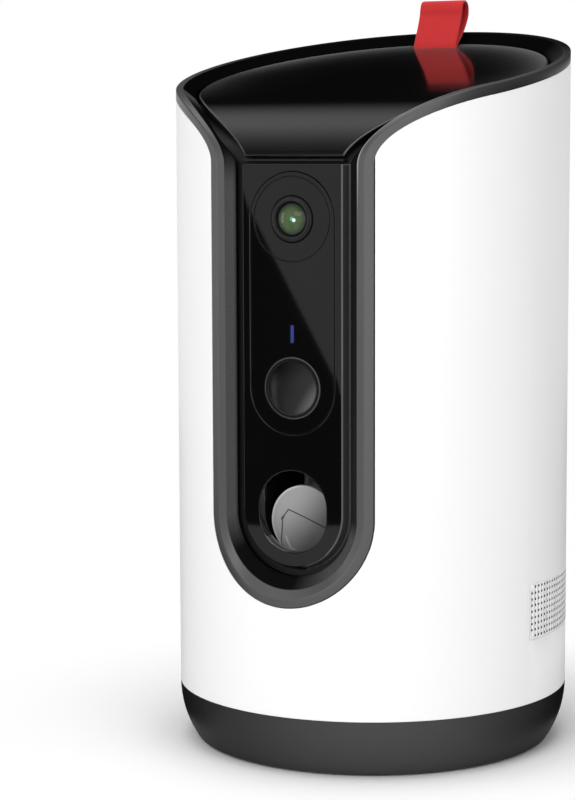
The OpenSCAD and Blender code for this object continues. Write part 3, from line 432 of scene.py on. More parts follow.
def gloss_black():
    """The lid's polish: a painted reflection, pale inside its far edge and fading inward, and
    a painted highlight line on its edges.
    """
    finish, body = polished("Gloss black", 0.1)
    x, y, _ = finish.parts(finish.place())
    inward = ((sizes().lid_radius - radial(x, y)) / MM).most(0.0)
    painted_reflection = 0.88 * inward.decay(0.19) + 0.05 * inward.decay(0.05)
    painted_reflection = painted_reflection * (0.35 + 0.65 * (y / MM).step(-5, 35)) * (y / MM).step(-40, -5)
    # painted highlight: a pale line on the lid's rounded edge, where the edge attribute is set
    edge = finish.attribute("edge")
    body = finish.mix(painted_reflection, body, grey(130))
    finish.put({"Base Color": finish.mix(edge, body, grey(88))})
    return finish


def panel_black():
    """The panel's polish, with a painted sheen on its right chamfer."""
    finish, body = polished("Panel black", 0.035)
    painted_sheen = finish.attribute("chamfer")
    _, y, _ = finish.parts(finish.place())
    # painted highlight: a brighter line near the chamfer's foot
    painted_sheen = painted_sheen * (1 + 3.4 * (y / MM).step(-56.0, -55.6))
    finish.put({"Base Color": finish.mix(painted_sheen, body, grey(112))})
    return finish


def ring_black():
    """Sensor ring: black between two painted lines of light on its edges, the inner one paler
    at the lower right.
    """
    finish = Recipe("Ring black", grey(12), 0.35, 0.1)
    x, z, out = finish.around("motion_sensor_ring")
    radius = high("motion_sensor_ring").x / MM
    out = out / radius
    grain = finish.noise(2600, 3)
    # painted highlights: the outer line, and the inner one brighter towards the lower right
    side = 0.35 + 0.65 * ((x - z) / radius).step(-0.6, 0.9)
    lines = out.step(0.955, 0.975) + (1 - out.step(0.865, 0.885)) * side
    finish.put({
        "Base Color": finish.mix(lines.least(1.0), finish.shade(0.8 + 0.4 * grain), grey(78)),
        "Roughness": 0.32 + 0.1 * grain,
    })
    finish.bump(grain, 0.002 * MM)
    return finish


def dome_black():
    """Sensor dome: painted light on its soft lens, palest at the lower right, and darkest at
    the top, with a softer painted highlight on its left.
    """
    finish = Recipe("Dome black", colours().satin, 0.4, 0.07)
    x, z, _ = finish.around("motion_sensor_dome")
    radius = high("motion_sensor_dome").x / MM
    x, z = x / radius, z / radius
    # painted light: shading across the dome and a highlight on its left, in its colour
    down = x * 0.75 - z * 0.5
    out = x * -1.0
    left = out.step(0.42, 0.7) * (1 - out.step(0.72, 0.98))
    cloud = finish.noise(300, 3)
    painted_tone = finish.mix(down.step(-0.75, 0.6), grey(5), grey(40))
    painted_tone = finish.mix(down.step(0.45, 1.0), painted_tone, grey(96))
    painted_tone = finish.mix(left * 0.5 * (1 - z.step(-0.1, 0.7)), painted_tone, grey(64))
    finish.put({"Base Color": painted_tone, "Roughness": 0.38 + 0.08 * cloud})
    finish.bump(cloud, 0.002 * MM)
    return finish


def bezel_black():
    """Lens ring: a satin front face between a black outline and a black bore."""
    finish = Recipe("Bezel black", grey(40), 0.34, 0.1)
    _, _, out = finish.around("lens_ring")
    inner, outer = (5.3, 6.0), (6.7, 6.9)  # edges of the satin face, in mm
    face = out.step(*inner) * (1 - out.step(*outer))
    grain = finish.noise(2600, 3)
    finish.put({
        "Base Color": finish.mix(face, grey(8), finish.shade(0.9 + 0.2 * grain)),
        "Roughness": 0.3 + 0.1 * grain,
    })
    finish.bump(grain, 0.002 * MM)
    return finish


def grille_white():
    """The shell's white, with painted shade on the walls of the grille's holes."""
    finish = moulded("Grille white", *MOULDED["white_shell"][1:])
    flow = finish.noise(22, 3)
    finish.put({"Base Color": finish.mix(
        finish.attribute("hole"), finish.shade(0.99 + 0.02 * flow), grey(70))})
    return finish


def lens_glass():
    """Coated glass: greener in the middle, a dark rim, and a painted glint and teal painted
    reflection that glow in it.
    """
    finish = Recipe("Lens glass", colours().lens, 0.05, 0.15, {
        "Coat Weight": 0.03, "Coat Roughness": 0.05})
    x, z, out = finish.around("lens_glass")
    out = out / (high("lens_glass").x / MM)
    glint = radial(x - 1.1, z + 0.3)
    side = radial(x - 0.4, z - 0.1)
    glass = finish.mix(out.step(0.55, 1.0), finish.shade(1.05), grey(38))
    bowl = finish.mix(out.step(0.1, 0.5) * 0.25, glass, tint(60, 84, 60))
    finish.put({
        "Base Color": bowl,
        "Roughness": 0.04 + 0.04 * finish.noise(500, 2),
        # painted highlight: a white glint and a teal reflection, given as glow
        "Emission Color": finish.mix(
            1 - glint.step(0.35, 0.75),
            finish.mix((1 - side.step(0.35, 0.85)) * 0.8, (0, 0, 0), tint(30, 190, 165)),
            tint(226, 255, 250)),
        "Emission Strength": 1.0,
    })
    return finish


def status_blue():
    """Status light: a cloudy blue pipe with a faint glow."""
    finish = Recipe("Status light", colours().light, 0.35, 0.3)
    cloud = finish.noise(900, 2)
    finish.put({
        "Base Color": finish.shade(0.3 + 0.2 * cloud),
        "Emission Color": finish.shade(0.85 + 0.3 * cloud),
        "Emission Strength": 0.15,
        "Roughness": 0.3 + 0.1 * cloud,
    })
    return finish


def red_webbing():
    """Woven webbing: warp ribs along it, crossed by picks, with a lighter worn crown."""
    finish = Recipe("Red webbing", colours().webbing, 0.72, 0.25, {
        "Sheen Weight": 0.25, "Sheen Roughness": 0.4})
    along = finish.attribute("along")
    across = finish.attribute("across")
    rib = (across * (2 * pi / (0.62 * MM))).wave()
    pick = (along * (2 * pi / (0.5 * MM)) + (rib > 0) * pi).wave()
    weave = (rib * 0.5 + 0.5) * (0.7 + 0.3 * pick)
    fuzz = finish.noise(3000, 3, 0.7)
    wear = finish.noise(160, 3)
    finish.put({
        "Base Color": finish.mix(
            weave * 0.3 + wear * 0.15, finish.shade(0.8), finish.shade(1.18)),
        "Roughness": 0.66 + 0.14 * fuzz,
    })
    finish.bump(weave + fuzz * 0.4, 0.09 * MM)
    return finish


def clear_smoke():
    """Smoked hopper plastic: glassy, a little see-through, with fine scuffs."""
    finish = moulded("Smoked plastic", grey(150), 0.16, 0.8, 0.003, 0.1)
    scuffs = finish.noise(240, 5, 0.7)
    finish.put({
        "Alpha": 0.86,
        "Roughness": 0.1 + 0.16 * scuffs,
    })
    return finish


def stroke(x, z, start, end):
    """Distance of a point from a straight stroke, in millimetres."""
    run = (end[0] - start[0], end[1] - start[1])
    from_x, from_z = x - start[0], z - start[1]
    share = (from_x * run[0] + from_z * run[1]) / (run[0] ** 2 + run[1] ** 2)
    share = share.most(0.0).least(1.0)
    return radial(from_x - share * run[0], from_z - share * run[1])


def from_route(x, z, route):
    """Distance of a point from a route of straight strokes, in millimetres."""
    line = stroke(x, z, *route[:2])
    for start, end in zip(route[1:], route[2:]):
        line = line.least(stroke(x, z, start, end))
    return line


# The paddle's moulded lines, in millimetres across and up from its middle: the outline of
# its flap, the slot where the flap hinges and the rib at its foot
FLAP = [(-5.9, -9.9), (-8.1, -7.5), (-7.8, 0.6), (-5.8, 3.3), (7.6, -1.8)]
HINGE_SLOT = [(-8.0, 0.2), (-7.5, 1.0)]
FOOT_RIB = [(-6.6, -5.5), (-4.9, -8.9), (-2.4, -10.0)]


def paddle_grey():
    """Paddle: mould swirls, painted light darker towards the lower right, a painted highlight
    on its left rim and foot rib, and the flap's fine lines.
    """
    finish = Recipe("Paddle grey", colours().paddle, 0.45, 0.15)
    radius = 11.5
    x, _, up = finish.parts(finish.place())
    x, z = x / MM, (up - high("toss_paddle").z) / MM + radius
    swirl = finish.noise(70, 4, 0.6)
    fine = finish.noise(2400, 3)
    # painted light: shade towards the lower right, highlights on the left rim and the foot rib
    shadow = ((x * 0.75 - z * 0.65) / radius).step(-0.85, 0.7)
    rim = radial(x, z).step(10.5, 11.3) * (1 - x.step(-6.0, 2.0))
    painted_tone = 1.15 - 0.95 * shadow + 0.9 * rim
    cut = 1 - from_route(x, z, FLAP).step(0.08, 0.28)
    slot = 1 - from_route(x, z, HINGE_SLOT).step(0.25, 0.45)
    rib = 1 - from_route(x, z, FOOT_RIB).step(0.1, 0.6)
    dark = cut.most(slot)
    body = finish.shade((painted_tone + 0.12 * (swirl - 0.5) + 0.35 * rib) * (1 - 0.8 * dark))
    finish.put({
        "Base Color": body,
        "Roughness": 0.36 + 0.12 * swirl + 0.05 * fine,
    })
    finish.bump((fine + swirl * 2) * 0.05 + rib * 0.5 - dark, 0.25 * MM, 0.6)
    return finish


def steel():
    """Turned and plated steel: fine lines round and a mottled plate."""
    finish = Recipe("Plated steel", grey(188), 0.3, plain={"Metallic": 1.0})
    mottle = finish.noise(420, 4, 0.6)
    lines = finish.noise(5200, 1)
    finish.put({
        "Base Color": finish.shade(0.85 + 0.25 * mottle),
        "Roughness": 0.22 + 0.16 * mottle + 0.06 * lines,
    })
    finish.bump(lines, 0.006 * MM)
    return finish


def motor_can():
    """Motor can: brushed along its height."""
    finish = Recipe("Motor can", grey(170), 0.34, plain={"Metallic": 1.0})
    stretched = finish.node(
        "ShaderNodeMapping", {"vector_type": "POINT"},
        {"Vector": finish.place(), "Scale": (1.0, 1.0, 0.06)})
    brushed = finish.node(
        "ShaderNodeTexNoise", {}, {"Vector": stretched, "Scale": 4200.0, "Detail": 2.0})
    stains = finish.noise(120, 3)
    finish.put({
        "Base Color": finish.shade(0.84 + 0.2 * stains),
        "Roughness": 0.26 + 0.14 * brushed + 0.06 * stains,
    })
    finish.bump(brushed, 0.008 * MM)
    return finish


def circuit_board():
    """Solder mask over copper: darker laminate, and traces where the mask stands proud."""
    finish = Recipe("Circuit board", tint(24, 92, 58), 0.35)
    x, y, _ = finish.parts(finish.place())
    run = (x * (2 * pi / (2.4 * MM))).wave() + (y * (2 * pi / (3.1 * MM))).wave()
    trace = run.step(0.72, 0.82) * (finish.noise(210, 1) > 0.48)
    cloth = finish.noise(1800, 2)
    finish.put({
        "Base Color": finish.mix(trace, finish.shade(0.8 + 0.3 * cloth), tint(52, 132, 84)),
        "Roughness": 0.3 + 0.1 * cloth,
    })
    finish.bump(trace + cloth * 0.2, 0.03 * MM)
    return finish


MAKERS = {maker.__name__: maker for maker in (
    satin_grey, base_grey, gloss_black, panel_black, ring_black, dome_black, bezel_black,
    grille_white, lens_glass, status_blue, red_webbing, clear_smoke, paddle_grey, steel,
    motor_can, circuit_board)}
FINISHES = {}


def finish_for(look):
    """The material of a slot or of a closer look, made when it is first asked for."""
    if look not in FINISHES:
        finish = moulded(*MOULDED[look]) if look in MOULDED else MAKERS[look]()
        FINISHES[look] = finish.material
    return FINISHES[look]


# Meshes -----------------------------------------------------------------------------------


def placed(name, data):
    """A new object of the scene."""
    obj = bpy.data.objects.new(name, data)
    bpy.context.scene.collection.objects.link(obj)
    return obj


def meshed(name, bm, material):
    """A new object with a bmesh's surface and a material."""
    mesh = bpy.data.meshes.new(name)
    bm.to_mesh(mesh)
    bm.free()
    mesh.materials.append(material)
    return placed(name, mesh)


def piece(name, bm, body, slot, stands_for=(), even=True, look=None):
    """Makes a finished piece of a bmesh, in its material slot's finish or a closer look."""
    bmesh.ops.recalc_face_normals(bm, faces=bm.faces)
    for face in bm.faces:
        face.smooth = True
    obj = meshed(name, bm, finish_for(look or slot))
    if even:
        weighted = obj.modifiers.new("Even shading", "WEIGHTED_NORMAL")
        weighted.weight = 80
    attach(obj, body)
    if stands_for:
        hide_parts(*stands_for)


def bevel(bm, edges, width, segments=3):
    bmesh.ops.bevel(
        bm, geom=edges, offset=width, offset_type="OFFSET", affect="EDGES",
        segments=segments, profile=0.5, material=-1, clamp_overlap=False, loop_slide=True)


def sharp_edges(bm, angle=30):
    return [e for e in bm.edges if e.is_manifold and e.calc_face_angle() > radians(angle)]


def solid_copy(node):
    """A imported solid's own surface as one clean mesh."""
    bm = bmesh.new()
    bm.from_mesh(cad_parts[node].data)
    bmesh.ops.remove_doubles(bm, verts=bm.verts, dist=0.002 * MM)
    bmesh.ops.dissolve_limit(
        bm, angle_limit=radians(0.3), use_dissolve_boundaries=False,
        verts=bm.verts, edges=bm.edges, delimit=set())
    return bm


def softened(name, node, body, slot, width, look=None, keep=None, paint=None):
    """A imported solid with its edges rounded; paint is a face attribute and its rule."""
    bm = solid_copy(node)
    edges = sharp_edges(bm)
    if keep:
        edges = [e for e in edges if keep(e)]
    bevel(bm, edges, width)
    if paint:
        layer = bm.faces.layers.float.new(paint[0])
        bm.normal_update()
        for face in bm.faces:
            face[layer] = paint[1](face)
    piece(name, bm, body, slot, [node], look=look)


def start_ring(bm, points):
    verts = [bm.verts.new(p) for p in points]
    for a, b in zip(verts, verts[1:] + verts[:1]):
        bm.edges.new((a, b))
    return verts


def ring_edges(ring):
    """The edges along a closed ring of vertices."""
    return [next(e for e in a.link_edges if e.other_vert(a) is b)
            for a, b in zip(ring, ring[1:] + ring[:1])]


def grow(bm, ring, points):
    """Extrudes a ring of vertices to new places, and returns the new ring."""
    made = bmesh.ops.extrude_edge_only(bm, edges=ring_edges(ring))["geom"]
    fresh = {v for v in made if isinstance(v, bmesh.types.BMVert)}
    after = []
    for vert, point in zip(ring, points):
        twin = next(e.other_vert(vert) for e in vert.link_edges
                    if e.other_vert(vert) in fresh)
        twin.co = point
        after.append(twin)
    return after


def skin(rows, loop=False, layers=()):
    """A surface through rows of points, each row a closed ring, and its rings."""
    bm = bmesh.new()
    for name in layers:
        bm.verts.layers.float.new(name)
    rings = [start_ring(bm, rows[0])]
    for row in rows[1:]:
        rings.append(grow(bm, rings[-1], row))
    if loop:
        last = grow(bm, rings[-1], rows[0])
        bmesh.ops.weld_verts(bm, targetmap=dict(zip(last, rings[0])))
    return bm, rings


LATHE_STEPS = 128


def fill_ends(bm, rings):
    bmesh.ops.holes_fill(bm, edges=ring_edges(rings[0]) + ring_edges(rings[-1]))


def lathe(profile, centre):
    """Spins a profile of (radius, height) round an axis that runs forward."""
    bm = bmesh.new()
    verts = [bm.verts.new((r, 0, h)) for r, h in profile]
    edges = [bm.edges.new(pair) for pair in zip(verts, verts[1:])]
    bmesh.ops.spin(
        bm, geom=verts + edges, cent=(0, 0, 0), axis=(0, 0, 1), angle=2 * pi,
        steps=LATHE_STEPS, use_merge=True, use_duplicate=False)
    bmesh.ops.remove_doubles(bm, verts=bm.verts, dist=0.001 * MM)
    bmesh.ops.rotate(bm, verts=bm.verts, matrix=Matrix.Rotation(pi / 2, 3, "X"))
    bmesh.ops.translate(bm, verts=bm.verts, vec=centre)
    return bm


def rounded(corner, radius, start, count=6):
    """Points (radius, height) of a quarter round with a centre, from an angle in degrees."""
    turns = [radians(start + 90 * i / count) for i in range(count + 1)]
    return [(corner[0] + radius * cos(a), corner[1] + radius * sin(a)) for a in turns]


def cap(radius, height, top, count):
    """Points (radius, height) over a shallow dome, from its edge to its middle."""
    ball = (radius ** 2 + height ** 2) / (2 * height)
    reach = [radius * (1 - i / count) for i in range(count + 1)]
    return [(r, top - ball + sqrt(ball ** 2 - r ** 2)) for r in reach]


def seat(node):
    """Radius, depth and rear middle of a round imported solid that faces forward."""
    lo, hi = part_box(node)
    return ((hi.x - lo.x) / 2, hi.y - lo.y,
            Vector(((lo.x + hi.x) / 2, hi.y, (lo.z + hi.z) / 2)))


# Edges of the sloping top -----------------------------------------------------------------

ARC_STEPS = 26
BEND_STEPS = 56
ROUND_STEPS = 100


def rim_plane(forward, drop):
    """Height of the plane that lies a drop below the rim."""
    s = sizes()
    return s.rim_height - s.rim_slope * forward - drop


def side_curve(drop, f0, f1, f2, bottom, count=BEND_STEPS):
    """Side profile of the top as (forward, height): a quadratic curve down to bottom."""
    a, b = [Vector((f, rim_plane(f, drop))) for f in (f0, f1)]
    c = Vector((f2, bottom))
    steps = [i / count for i in range(count + 1)]
    return [a * (1 - t) ** 2 + b * 2 * t * (1 - t) + c * t * t for t in steps]


def chord(radius, forward):
    return sqrt(max(0.0, radius ** 2 - forward ** 2))


def edge_across(radius, x, f, at):
    """How far across an edge lies: on its circle, drawn to x as it enters the channel."""
    s = sizes()
    blend = max(0.0, at - s.bend_forward) / (f - s.bend_forward)
    return chord(radius, at) + (x - chord(radius, f)) * blend ** 3


def bulge(x, at):
    """How far the tower's side at a distance across bulges past its place at x."""
    radius = sizes().body_radius
    return chord(radius, at) - chord(radius, x)


def edge_ring(radius, x, f, bottom, drop, bulges=0.0, dip=0.0):
    """An edge of the recess: up the right of the channel, round the top and down the left."""
    s = sizes()
    half = []
    for i in range(ARC_STEPS):
        turn = pi / 2 * i / ARC_STEPS
        across = x * sin(turn)
        out = bulge(x, across)
        here = f + bulges * out - dip * out / bulge(x, 0)
        half.append(Vector((across, -here, bottom + x - x * cos(turn))))
    for at, height in reversed(side_curve(drop, s.bend_forward, f, f, s.bend_height)):
        half.append(Vector((edge_across(radius, x, f, at), -at, height)))
    first = acos(s.bend_forward / radius)
    for i in range(1, ROUND_STEPS + 1):
        turn = first + (pi - first) * i / ROUND_STEPS
        at = radius * cos(turn)
        half.append(Vector((radius * sin(turn), -at, rim_plane(at, drop))))
    mirror = [Vector((-p.x, p.y, p.z)) for p in half[-2:0:-1]]
    return half + mirror


def shell_edge(inward=0.0, narrow=0.0):
    """The edge of the white shell's opening, on the tower's side or inside it."""
    s = sizes()
    radius = s.body_radius
    half = s.channel_half - narrow
    drop = s.band_height - narrow
    f = chord(radius, half)
    ring = edge_ring(radius, half, f, s.channel_low + narrow, drop, bulges=1.0)
    flat = [Vector((p.x, p.y)).normalized() * (radius - inward) for p in ring]
    return [Vector((q.x, q.y, p.z)) for p, q in zip(ring, flat)]


# Operators: one for each piece or group of like pieces ------------------------------------


class BuildStep(bpy.types.Operator):
    """A step that makes pieces of the pet camera."""

    bl_options = {"REGISTER", "UNDO"}
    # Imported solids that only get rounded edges, as softened takes them
    ROUNDED = ()

    def execute(self, context):
        self.make(context)
        for row in self.ROUNDED:
            softened(*row)
        return {"FINISHED"}

    def make(self, context):
        """Makes what the step has beside its rounded solids."""


class PETCAM_OT_stage(BuildStep):
    """Sets up the camera, the pale floor and the soft studio light"""

    bl_idname = "pet_camera.stage"
    bl_label = "Stage"

    FLOOR = 4.0
    # Distances where the floor turns from the object's shadow to plain white
    CLEAR = (0.075, 0.17)
    LAMP_AIM = 0.12
    # Name, place, size and power
    LAMPS = (
        ("Key", (0.03, -1.25, 0.75), 0.9, 8.0),
        ("Top", (0.0, -0.1, 1.4), 1.0, 8.0),
        ("Fill", (1.14, -0.66, 0.6), 0.8, 2.4))
    # Corners of the dark part of the panel, in millimetres across and up
    PANEL_FLAG = ((-24, 193.5), (24, 109.6), (24, 80.4), (-24, 77.2))
    # The arch: its two sides, and where it starts and how far it turns, in degrees
    ARCH_ENDS = (-0.8, 0.5)
    ARCH_TURNS = (30, 138)

    def make(self, context):
        stage = context.scene.pet_camera_stage
        self.camera(context.scene, stage)
        self.world(context.scene, stage)
        self.floor()
        self.lamps()
        self.flags(stage)
        context.scene.view_settings.view_transform = "Standard"

    def camera(self, scene, stage):
        data = bpy.data.cameras.new("Camera")
        data.lens = stage.focal
        data.sensor_width = 36
        data.sensor_fit = "AUTO"
        data.shift_x = stage.shift_x
        data.shift_y = stage.shift_y
        data.clip_start = 0.01
        data.dof.use_dof = False
        camera = placed("Camera", data)
        target = Vector((0, 0, stage.target_height))
        reach = stage.distance * cos(stage.elevation)
        camera.location = target + Vector((
            reach * sin(stage.azimuth), -reach * cos(stage.azimuth),
            stage.distance * sin(stage.elevation)))
        aim = (target - camera.location).to_track_quat("-Z", "Y").to_matrix()
        camera.rotation_euler = (aim @ Matrix.Rotation(stage.roll, 3, "Z")).to_euler()
        scene.camera = camera

    def world(self, scene, stage):
        """White where it is seen or mirrored, softer where it lights the object."""
        world = bpy.data.worlds.new("Studio")
        world.use_nodes = True
        nodes = Nodes(world.node_tree)
        sky = nodes.tree.nodes["Background"].inputs
        nodes.join(sky["Strength"], nodes.node("ShaderNodeMapRange", {}, {
            "Value": nodes.rays(), "To Min": stage.ambient, "To Max": 1.0}))
        nodes.join(sky["Color"], (*colours().backdrop, 1))
        scene.world = world

    def floor(self):
        """A pale floor: it keeps the contact shadow, and is plain white farther out."""
        bm = bmesh.new()
        bmesh.ops.create_circle(bm, cap_ends=True, segments=96, radius=self.FLOOR)
        finish = Recipe("Floor", grey(252), 0.9, 0.1)
        x, y, _ = finish.parts(finish.place())
        finish.put({"Base Color": finish.shade(0.985 + 0.03 * finish.noise(3, 2))})
        glow = finish.node("ShaderNodeEmission", {}, {"Color": (1, 1, 1, 1), "Strength": 1.0})
        finish.over(finish.rays() * radial(x, y).step(*self.CLEAR), glow)
        meshed("floor", bm, finish.material)

    def lamps(self):
        """Square lamps that all aim at the object's middle."""
        for name, place, size, power in self.LAMPS:
            data = bpy.data.lights.new(name, "AREA")
            data.shape = "SQUARE"
            data.size = size
            data.energy = power
            lamp = placed(name, data)
            lamp.location = place
            way = Vector((0, 0, self.LAMP_AIM)) - lamp.location
            lamp.rotation_euler = way.to_track_quat("-Z", "Y").to_euler()

    def card(self, name, bm, glow=None, strength=0.0):
        """A card that only mirrors see: black, or with a soft light of its own."""
        finish = Recipe(name, grey(3), 0.9, 0.0)
        if glow:
            finish.put({"Emission Color": glow(finish), "Emission Strength": 1.0})
        if strength:
            finish.put({"Emission Color": (1, 1, 1, 1), "Emission Strength": strength})
        card = meshed(name, bm, finish.material)
        for ray in ("camera", "diffuse", "transmission", "volume_scatter", "shadow"):
            setattr(card, "visible_" + ray, False)

    def mirrored(self, x, z, gap):
        """The point of the room, a gap before the panel, that the camera sees at x and z."""
        spot = Vector((x, low("front_panel").y, z))
        ray = spot - bpy.context.scene.camera.location
        ray.y = -ray.y
        return spot + ray * (gap / -ray.y)

    def flags(self, stage):
        """Cards round the set: black before the panel and behind, a soft arch overhead."""
        bm = bmesh.new()
        bm.faces.new([bm.verts.new(self.mirrored(x * MM, z * MM, stage.flag_gap))
                      for x, z in self.PANEL_FLAG])
        self.card("panel_flag", bm)
        r = stage.flag_radius
        # Name, turn from the front, sweep, ends as (radius, height), strength of its light
        for name, start, turn, ends, strength in (
                ("rear_flag", 75, 225, ((r, 0.30), (r, stage.flag_height)), 0.0),
                ("right_flag", 65, 75, ((r, 0.002), (r, 0.30)), 0.0),
                ("low_flag", 140, 130, ((r, 0.002), (r, 0.05)), 0.0),
                ("floor_flag", 65, 250, ((0.07, 0.001), (r, 0.001)), 0.0),
                ("left_strip", -54, 7, ((1.0, 0.02), (1.0, 0.6)), 5.0),
                ("right_strip", 54, 7, ((1.0, 0.02), (1.0, 0.6)), 4.0),
                ("front_glow", 2, 46, ((1.1, 0.03), (1.1, 0.5)), 2.1)):
            way = Vector((sin(radians(start)), -cos(radians(start)), 0))
            line = [way * radius + Vector((0, 0, height)) for radius, height in ends]
            self.card(name, self.spun(line, (0, 0, 0), (0, 0, 1), turn, 48), strength=strength)
        lift = Vector((0, 0, stage.arch_height))
        start, turn = self.ARCH_TURNS
        first = Vector((0, cos(radians(start)), sin(radians(start)))) * stage.arch_radius
        line = [lift + first + Vector((x, 0, 0)) for x in self.ARCH_ENDS]
        self.card("arch", self.spun(line, lift, (1, 0, 0), turn, 60), self.arch_glow)

    def spun(self, line, centre, axis, turn, steps):
        """A card that a line sweeps as it turns, in degrees, round an axis."""
        bm = bmesh.new()
        verts = [bm.verts.new(point) for point in line]
        edge = bm.edges.new(verts)
        bmesh.ops.spin(
            bm, geom=verts + [edge], cent=centre, axis=axis, angle=radians(turn),
            steps=steps)
        return bm

    def arch_glow(self, finish):
        """Brightness of the arch: dark behind, brightest past the zenith, dim in front."""
        height = bpy.context.scene.pet_camera_stage.arch_height
        _, y, z = finish.parts(finish.place())
        turn = finish.node("ShaderNodeMath", {"operation": "ARCTAN2"}, {0: z - height, 1: y})
        turn = turn * (180 / pi)
        level = 1.8 * turn.step(43, 103) * (1 - 0.85 * turn.step(100, 160))
        return finish.node("ShaderNodeCombineColor", {}, {0: level, 1: level, 2: level})


class PETCAM_OT_finishes(BuildStep):
    """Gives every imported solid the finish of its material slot"""

    bl_idname = "pet_camera.finishes"
    bl_label = "Finishes"

    def make(self, context):
        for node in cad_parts.values():
            for holder in node.material_slots:
                slot = holder.material.name.split(".")[0]
                holder.material = finish_for(slot)


class PETCAM_OT_shell(BuildStep):
    """Rounds the edges of the white shell"""

    bl_idname = "pet_camera.shell"
    bl_label = "White shell"

    def make(self, context):
        lo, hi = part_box("speaker_grille")
        margin = Vector((1, 1, 1)) * MM

        def away(edge):
            return not all(
                all(a - m < c < b + m for a, c, b, m in zip(lo, vert.co, hi, margin))
                for vert in edge.verts)

        softened("shell", "outer_shell", "tower", "white_shell", 0.25 * MM, keep=away)


class PETCAM_OT_collar(BuildStep):
    """Sweeps the one-piece collar round the rim and down into the channel"""

    bl_idname = "pet_camera.collar"
    bl_label = "Collar"

    # Where the rings of the sloping wall lie, from its mouth to its foot
    WALL_STEPS = (0.07, 0.3, 0.55, 0.8)
    # painted shade that darkens the seam's rings
    SEAM_SHADE = 0.8

    def make(self, context):
        s = sizes()
        outer_x = chord(s.body_radius, s.land_forward)
        crown = s.channel_low + s.channel_half
        seat = -low("inner_frame").y
        wall_out = s.body_radius - s.land_width
        wall_in = wall_out - s.slope_width
        foot_z = crown - s.mouth_half + s.slope_depth
        tuck = shell_edge(inward=1.2 * MM)
        line = [shell_edge(inward=s.seam), shell_edge(s.seam, s.seam)]
        seam = shell_edge(narrow=s.seam)
        outer = edge_ring(s.body_radius, outer_x, s.land_forward, crown - outer_x, 0, 1.0)
        mouth = edge_ring(
            wall_out, s.mouth_half, s.land_forward, crown - s.mouth_half, 0, 1.0, s.land_dip)
        foot = edge_ring(wall_in, s.foot_half, seat + 0.4 * MM, foot_z, s.slope_depth)
        floor = edge_ring(wall_in, s.foot_half, seat - 1 * MM, foot_z, s.floor_drop + 1 * MM)
        between = [[a.lerp(b, t) for a, b in zip(mouth, foot)] for t in self.WALL_STEPS]
        cover = [a.lerp(b, 0.5) for a, b in zip(floor, tuck)]
        rows = [tuck, *line, seam, outer, mouth, *between, foot, floor, cover]
        names = ["wall", "shade", "glint"]
        bm, rings = skin(rows, loop=True, layers=names)
        wall, shade, glint = [bm.verts.layers.float[name] for name in names]
        rim, lip, walls = rings[4], rings[5], rings[6:12]
        for vert in sum(walls, []):
            vert[wall] = 1.0
            vert[shade] = self.wall_shade(vert.co, crown)
        # painted shade in the seam round the shell's opening
        for vert in rings[1] + rings[2]:
            vert[shade] = self.SEAM_SHADE
        # painted shade on the rim, growing towards the back
        for vert in rim + lip:
            vert[shade] = self.land_shade(vert.co)
        # painted highlight: a line of light on the rim's inner edge, right of the swoop
        for vert in lip:
            turn = degrees(atan2(vert.co.x, -vert.co.y))
            vert[glint] = float(18 < turn < 62 and vert.co.z > 180 * MM)
        bevel(bm, ring_edges(rim) + ring_edges(lip), s.edge_round)
        piece("collar_trim", bm, "tower", "satin_grey", ["collar"])

    def wall_shade(self, spot, crown):
        """Painted shade on the sloping wall: deepest at its lower left, and round the back."""
        if -spot.y < sizes().bend_forward:
            turn = degrees(atan2(spot.x, -spot.y))
            return 0.99 - 0.5 * clamp(1 - abs(turn - 98) / 32)
        right = 0.92 * clamp((spot.x - 12 * MM) / (8 * MM))
        if spot.z >= crown:
            return right
        turn = degrees(atan2(spot.x, crown - spot.z))
        left = 0.95 * clamp((turn + 88) / 30) * clamp((38 - turn) / 34)
        return max(right * clamp((turn - 75) / 15), left)

    def land_shade(self, spot):
        """Painted shade on the flat rim, which grows towards the back."""
        turn = abs(degrees(atan2(spot.x, -spot.y)))
        return 0.95 * clamp((turn - 50) / 70)


